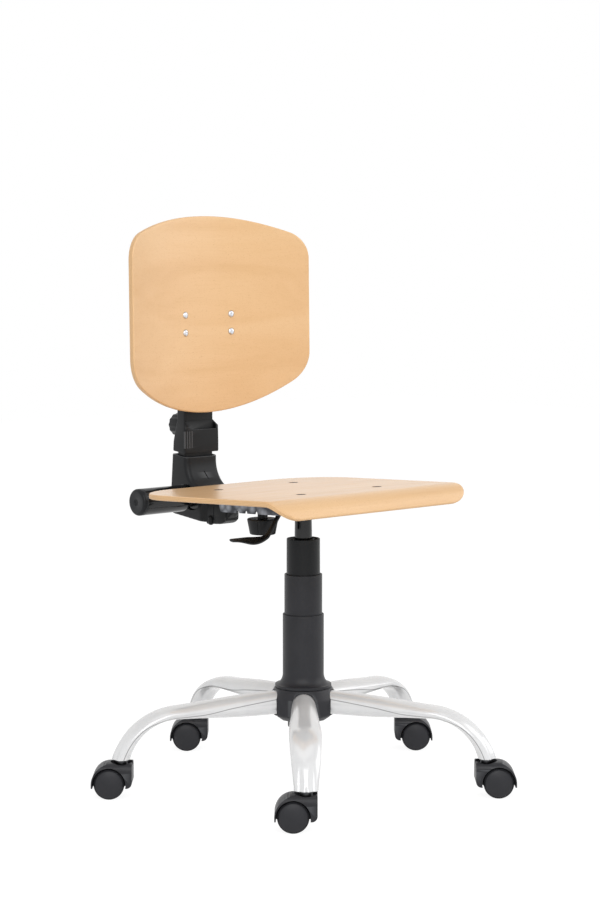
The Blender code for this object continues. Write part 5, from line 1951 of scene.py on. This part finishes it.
def shown_white(tree, lit, white):
    """Mix a lit surface with plain white where it is seen directly or mirrored."""
    path = tree.nodes.new("ShaderNodeLightPath")
    seen = path.outputs["Is Camera Ray"]
    for other in ("Is Glossy Ray", "Is Transmission Ray"):
        either = tree.nodes.new("ShaderNodeMath")
        either.operation = "MAXIMUM"
        tree.links.new(seen, either.inputs[0])
        tree.links.new(path.outputs[other], either.inputs[1])
        seen = either.outputs[0]
    mix = tree.nodes.new("ShaderNodeMixShader")
    tree.links.new(seen, mix.inputs[0])
    tree.links.new(lit, mix.inputs[1])
    tree.links.new(white, mix.inputs[2])
    return mix.outputs[0]


def build_world():
    world = bpy.data.worlds.new("studio")
    bpy.context.scene.world = world
    world.use_nodes = True
    tree = world.node_tree
    soft = tree.nodes["Background"]
    soft.inputs["Color"].default_value = plain_white
    soft.inputs["Strength"].default_value = world_strength
    seen = tree.nodes.new("ShaderNodeBackground")
    direction = tree.nodes.new("ShaderNodeTexCoord")
    parts = tree.nodes.new("ShaderNodeSeparateXYZ")
    tree.links.new(direction.outputs["Generated"], parts.inputs[0])
    ceiling = tree.nodes.new("ShaderNodeMapRange")
    tree.links.new(parts.outputs["Z"], ceiling.inputs["Value"])
    for key, value in ceiling_range.items():
        ceiling.inputs[key].default_value = value
    tree.links.new(ceiling.outputs["Result"], seen.inputs["Strength"])
    seen.inputs["Color"].default_value = plain_white
    output = tree.nodes["World Output"]
    tree.links.new(shown_white(tree, soft.outputs[0], seen.outputs[0]), output.inputs["Surface"])


def build_floor():
    """A pale floor that shows nearly white and keeps a faint shadow."""
    shape = bmesh.new()
    bmesh.ops.create_grid(shape, x_segments=1, y_segments=1, size=floor_half_size)
    mesh = bpy.data.meshes.new("floor")
    shape.to_mesh(mesh)
    shape.free()
    floor = bpy.data.objects.new("floor", mesh)
    bpy.context.scene.collection.objects.link(floor)
    material = bpy.data.materials.new("pale_floor")
    material.use_nodes = True
    tree = material.node_tree
    tree.nodes.remove(tree.nodes["Principled BSDF"])
    paint = tree.nodes.new("ShaderNodeBsdfDiffuse")
    paint.inputs["Color"].default_value = floor_colour
    glow = tree.nodes.new("ShaderNodeEmission")
    glow.inputs["Color"].default_value = plain_white
    glow.inputs["Strength"].default_value = floor_glow
    part_white = tree.nodes.new("ShaderNodeMixShader")
    part_white.inputs[0].default_value = floor_white_share
    tree.links.new(paint.outputs[0], part_white.inputs[1])
    tree.links.new(glow.outputs[0], part_white.inputs[2])
    output = tree.nodes["Material Output"]
    tree.links.new(shown_white(tree, paint.outputs[0], part_white.outputs[0]), output.inputs["Surface"])
    mesh.materials.append(material)


def add_softbox(name, place, target, size, power):
    light = bpy.data.lights.new(name, "AREA")
    light.shape = "RECTANGLE"
    light.size = size[0]
    light.size_y = size[1]
    light.energy = power
    lamp = bpy.data.objects.new(name, light)
    bpy.context.scene.collection.objects.link(lamp)
    lamp.location = place
    lamp.rotation_euler = (Vector(target) - Vector(place)).to_track_quat("-Z", "Y").to_euler()


def build_camera():
    data = bpy.data.cameras.new("photo_camera")
    data.sensor_fit = "VERTICAL"
    data.sensor_height = camera_sensor_height
    data.lens = camera_lens
    camera = bpy.data.objects.new("photo_camera", data)
    camera.location = camera_place
    camera.rotation_euler = [math.radians(angle) for angle in camera_turn_degrees]
    bpy.context.scene.collection.objects.link(camera)
    bpy.context.scene.camera = camera


build_base()
build_casters()
build_cover_upper()
build_cover_middle()
build_cover_lower()
build_lift_tube()
build_guide_bush()
build_thrust_bearing()
build_piston_rod()
build_gas_cylinder()
build_valve_pin()
build_taper_socket()
build_seat_board()
build_back_board()
build_seat_bolts()
build_back_screws()
build_seat_plate()
build_spring_tube()
build_tube_caps()
build_hinge()
build_upright()
build_sleeve()
build_sleeve_head()
build_height_knob()
build_tilt_knob()
build_lever()
build_world()
build_floor()
for name, settings in softboxes.items():
    add_softbox(name, *settings)
build_camera()
bpy.context.scene.view_settings.view_transform = "Standard"
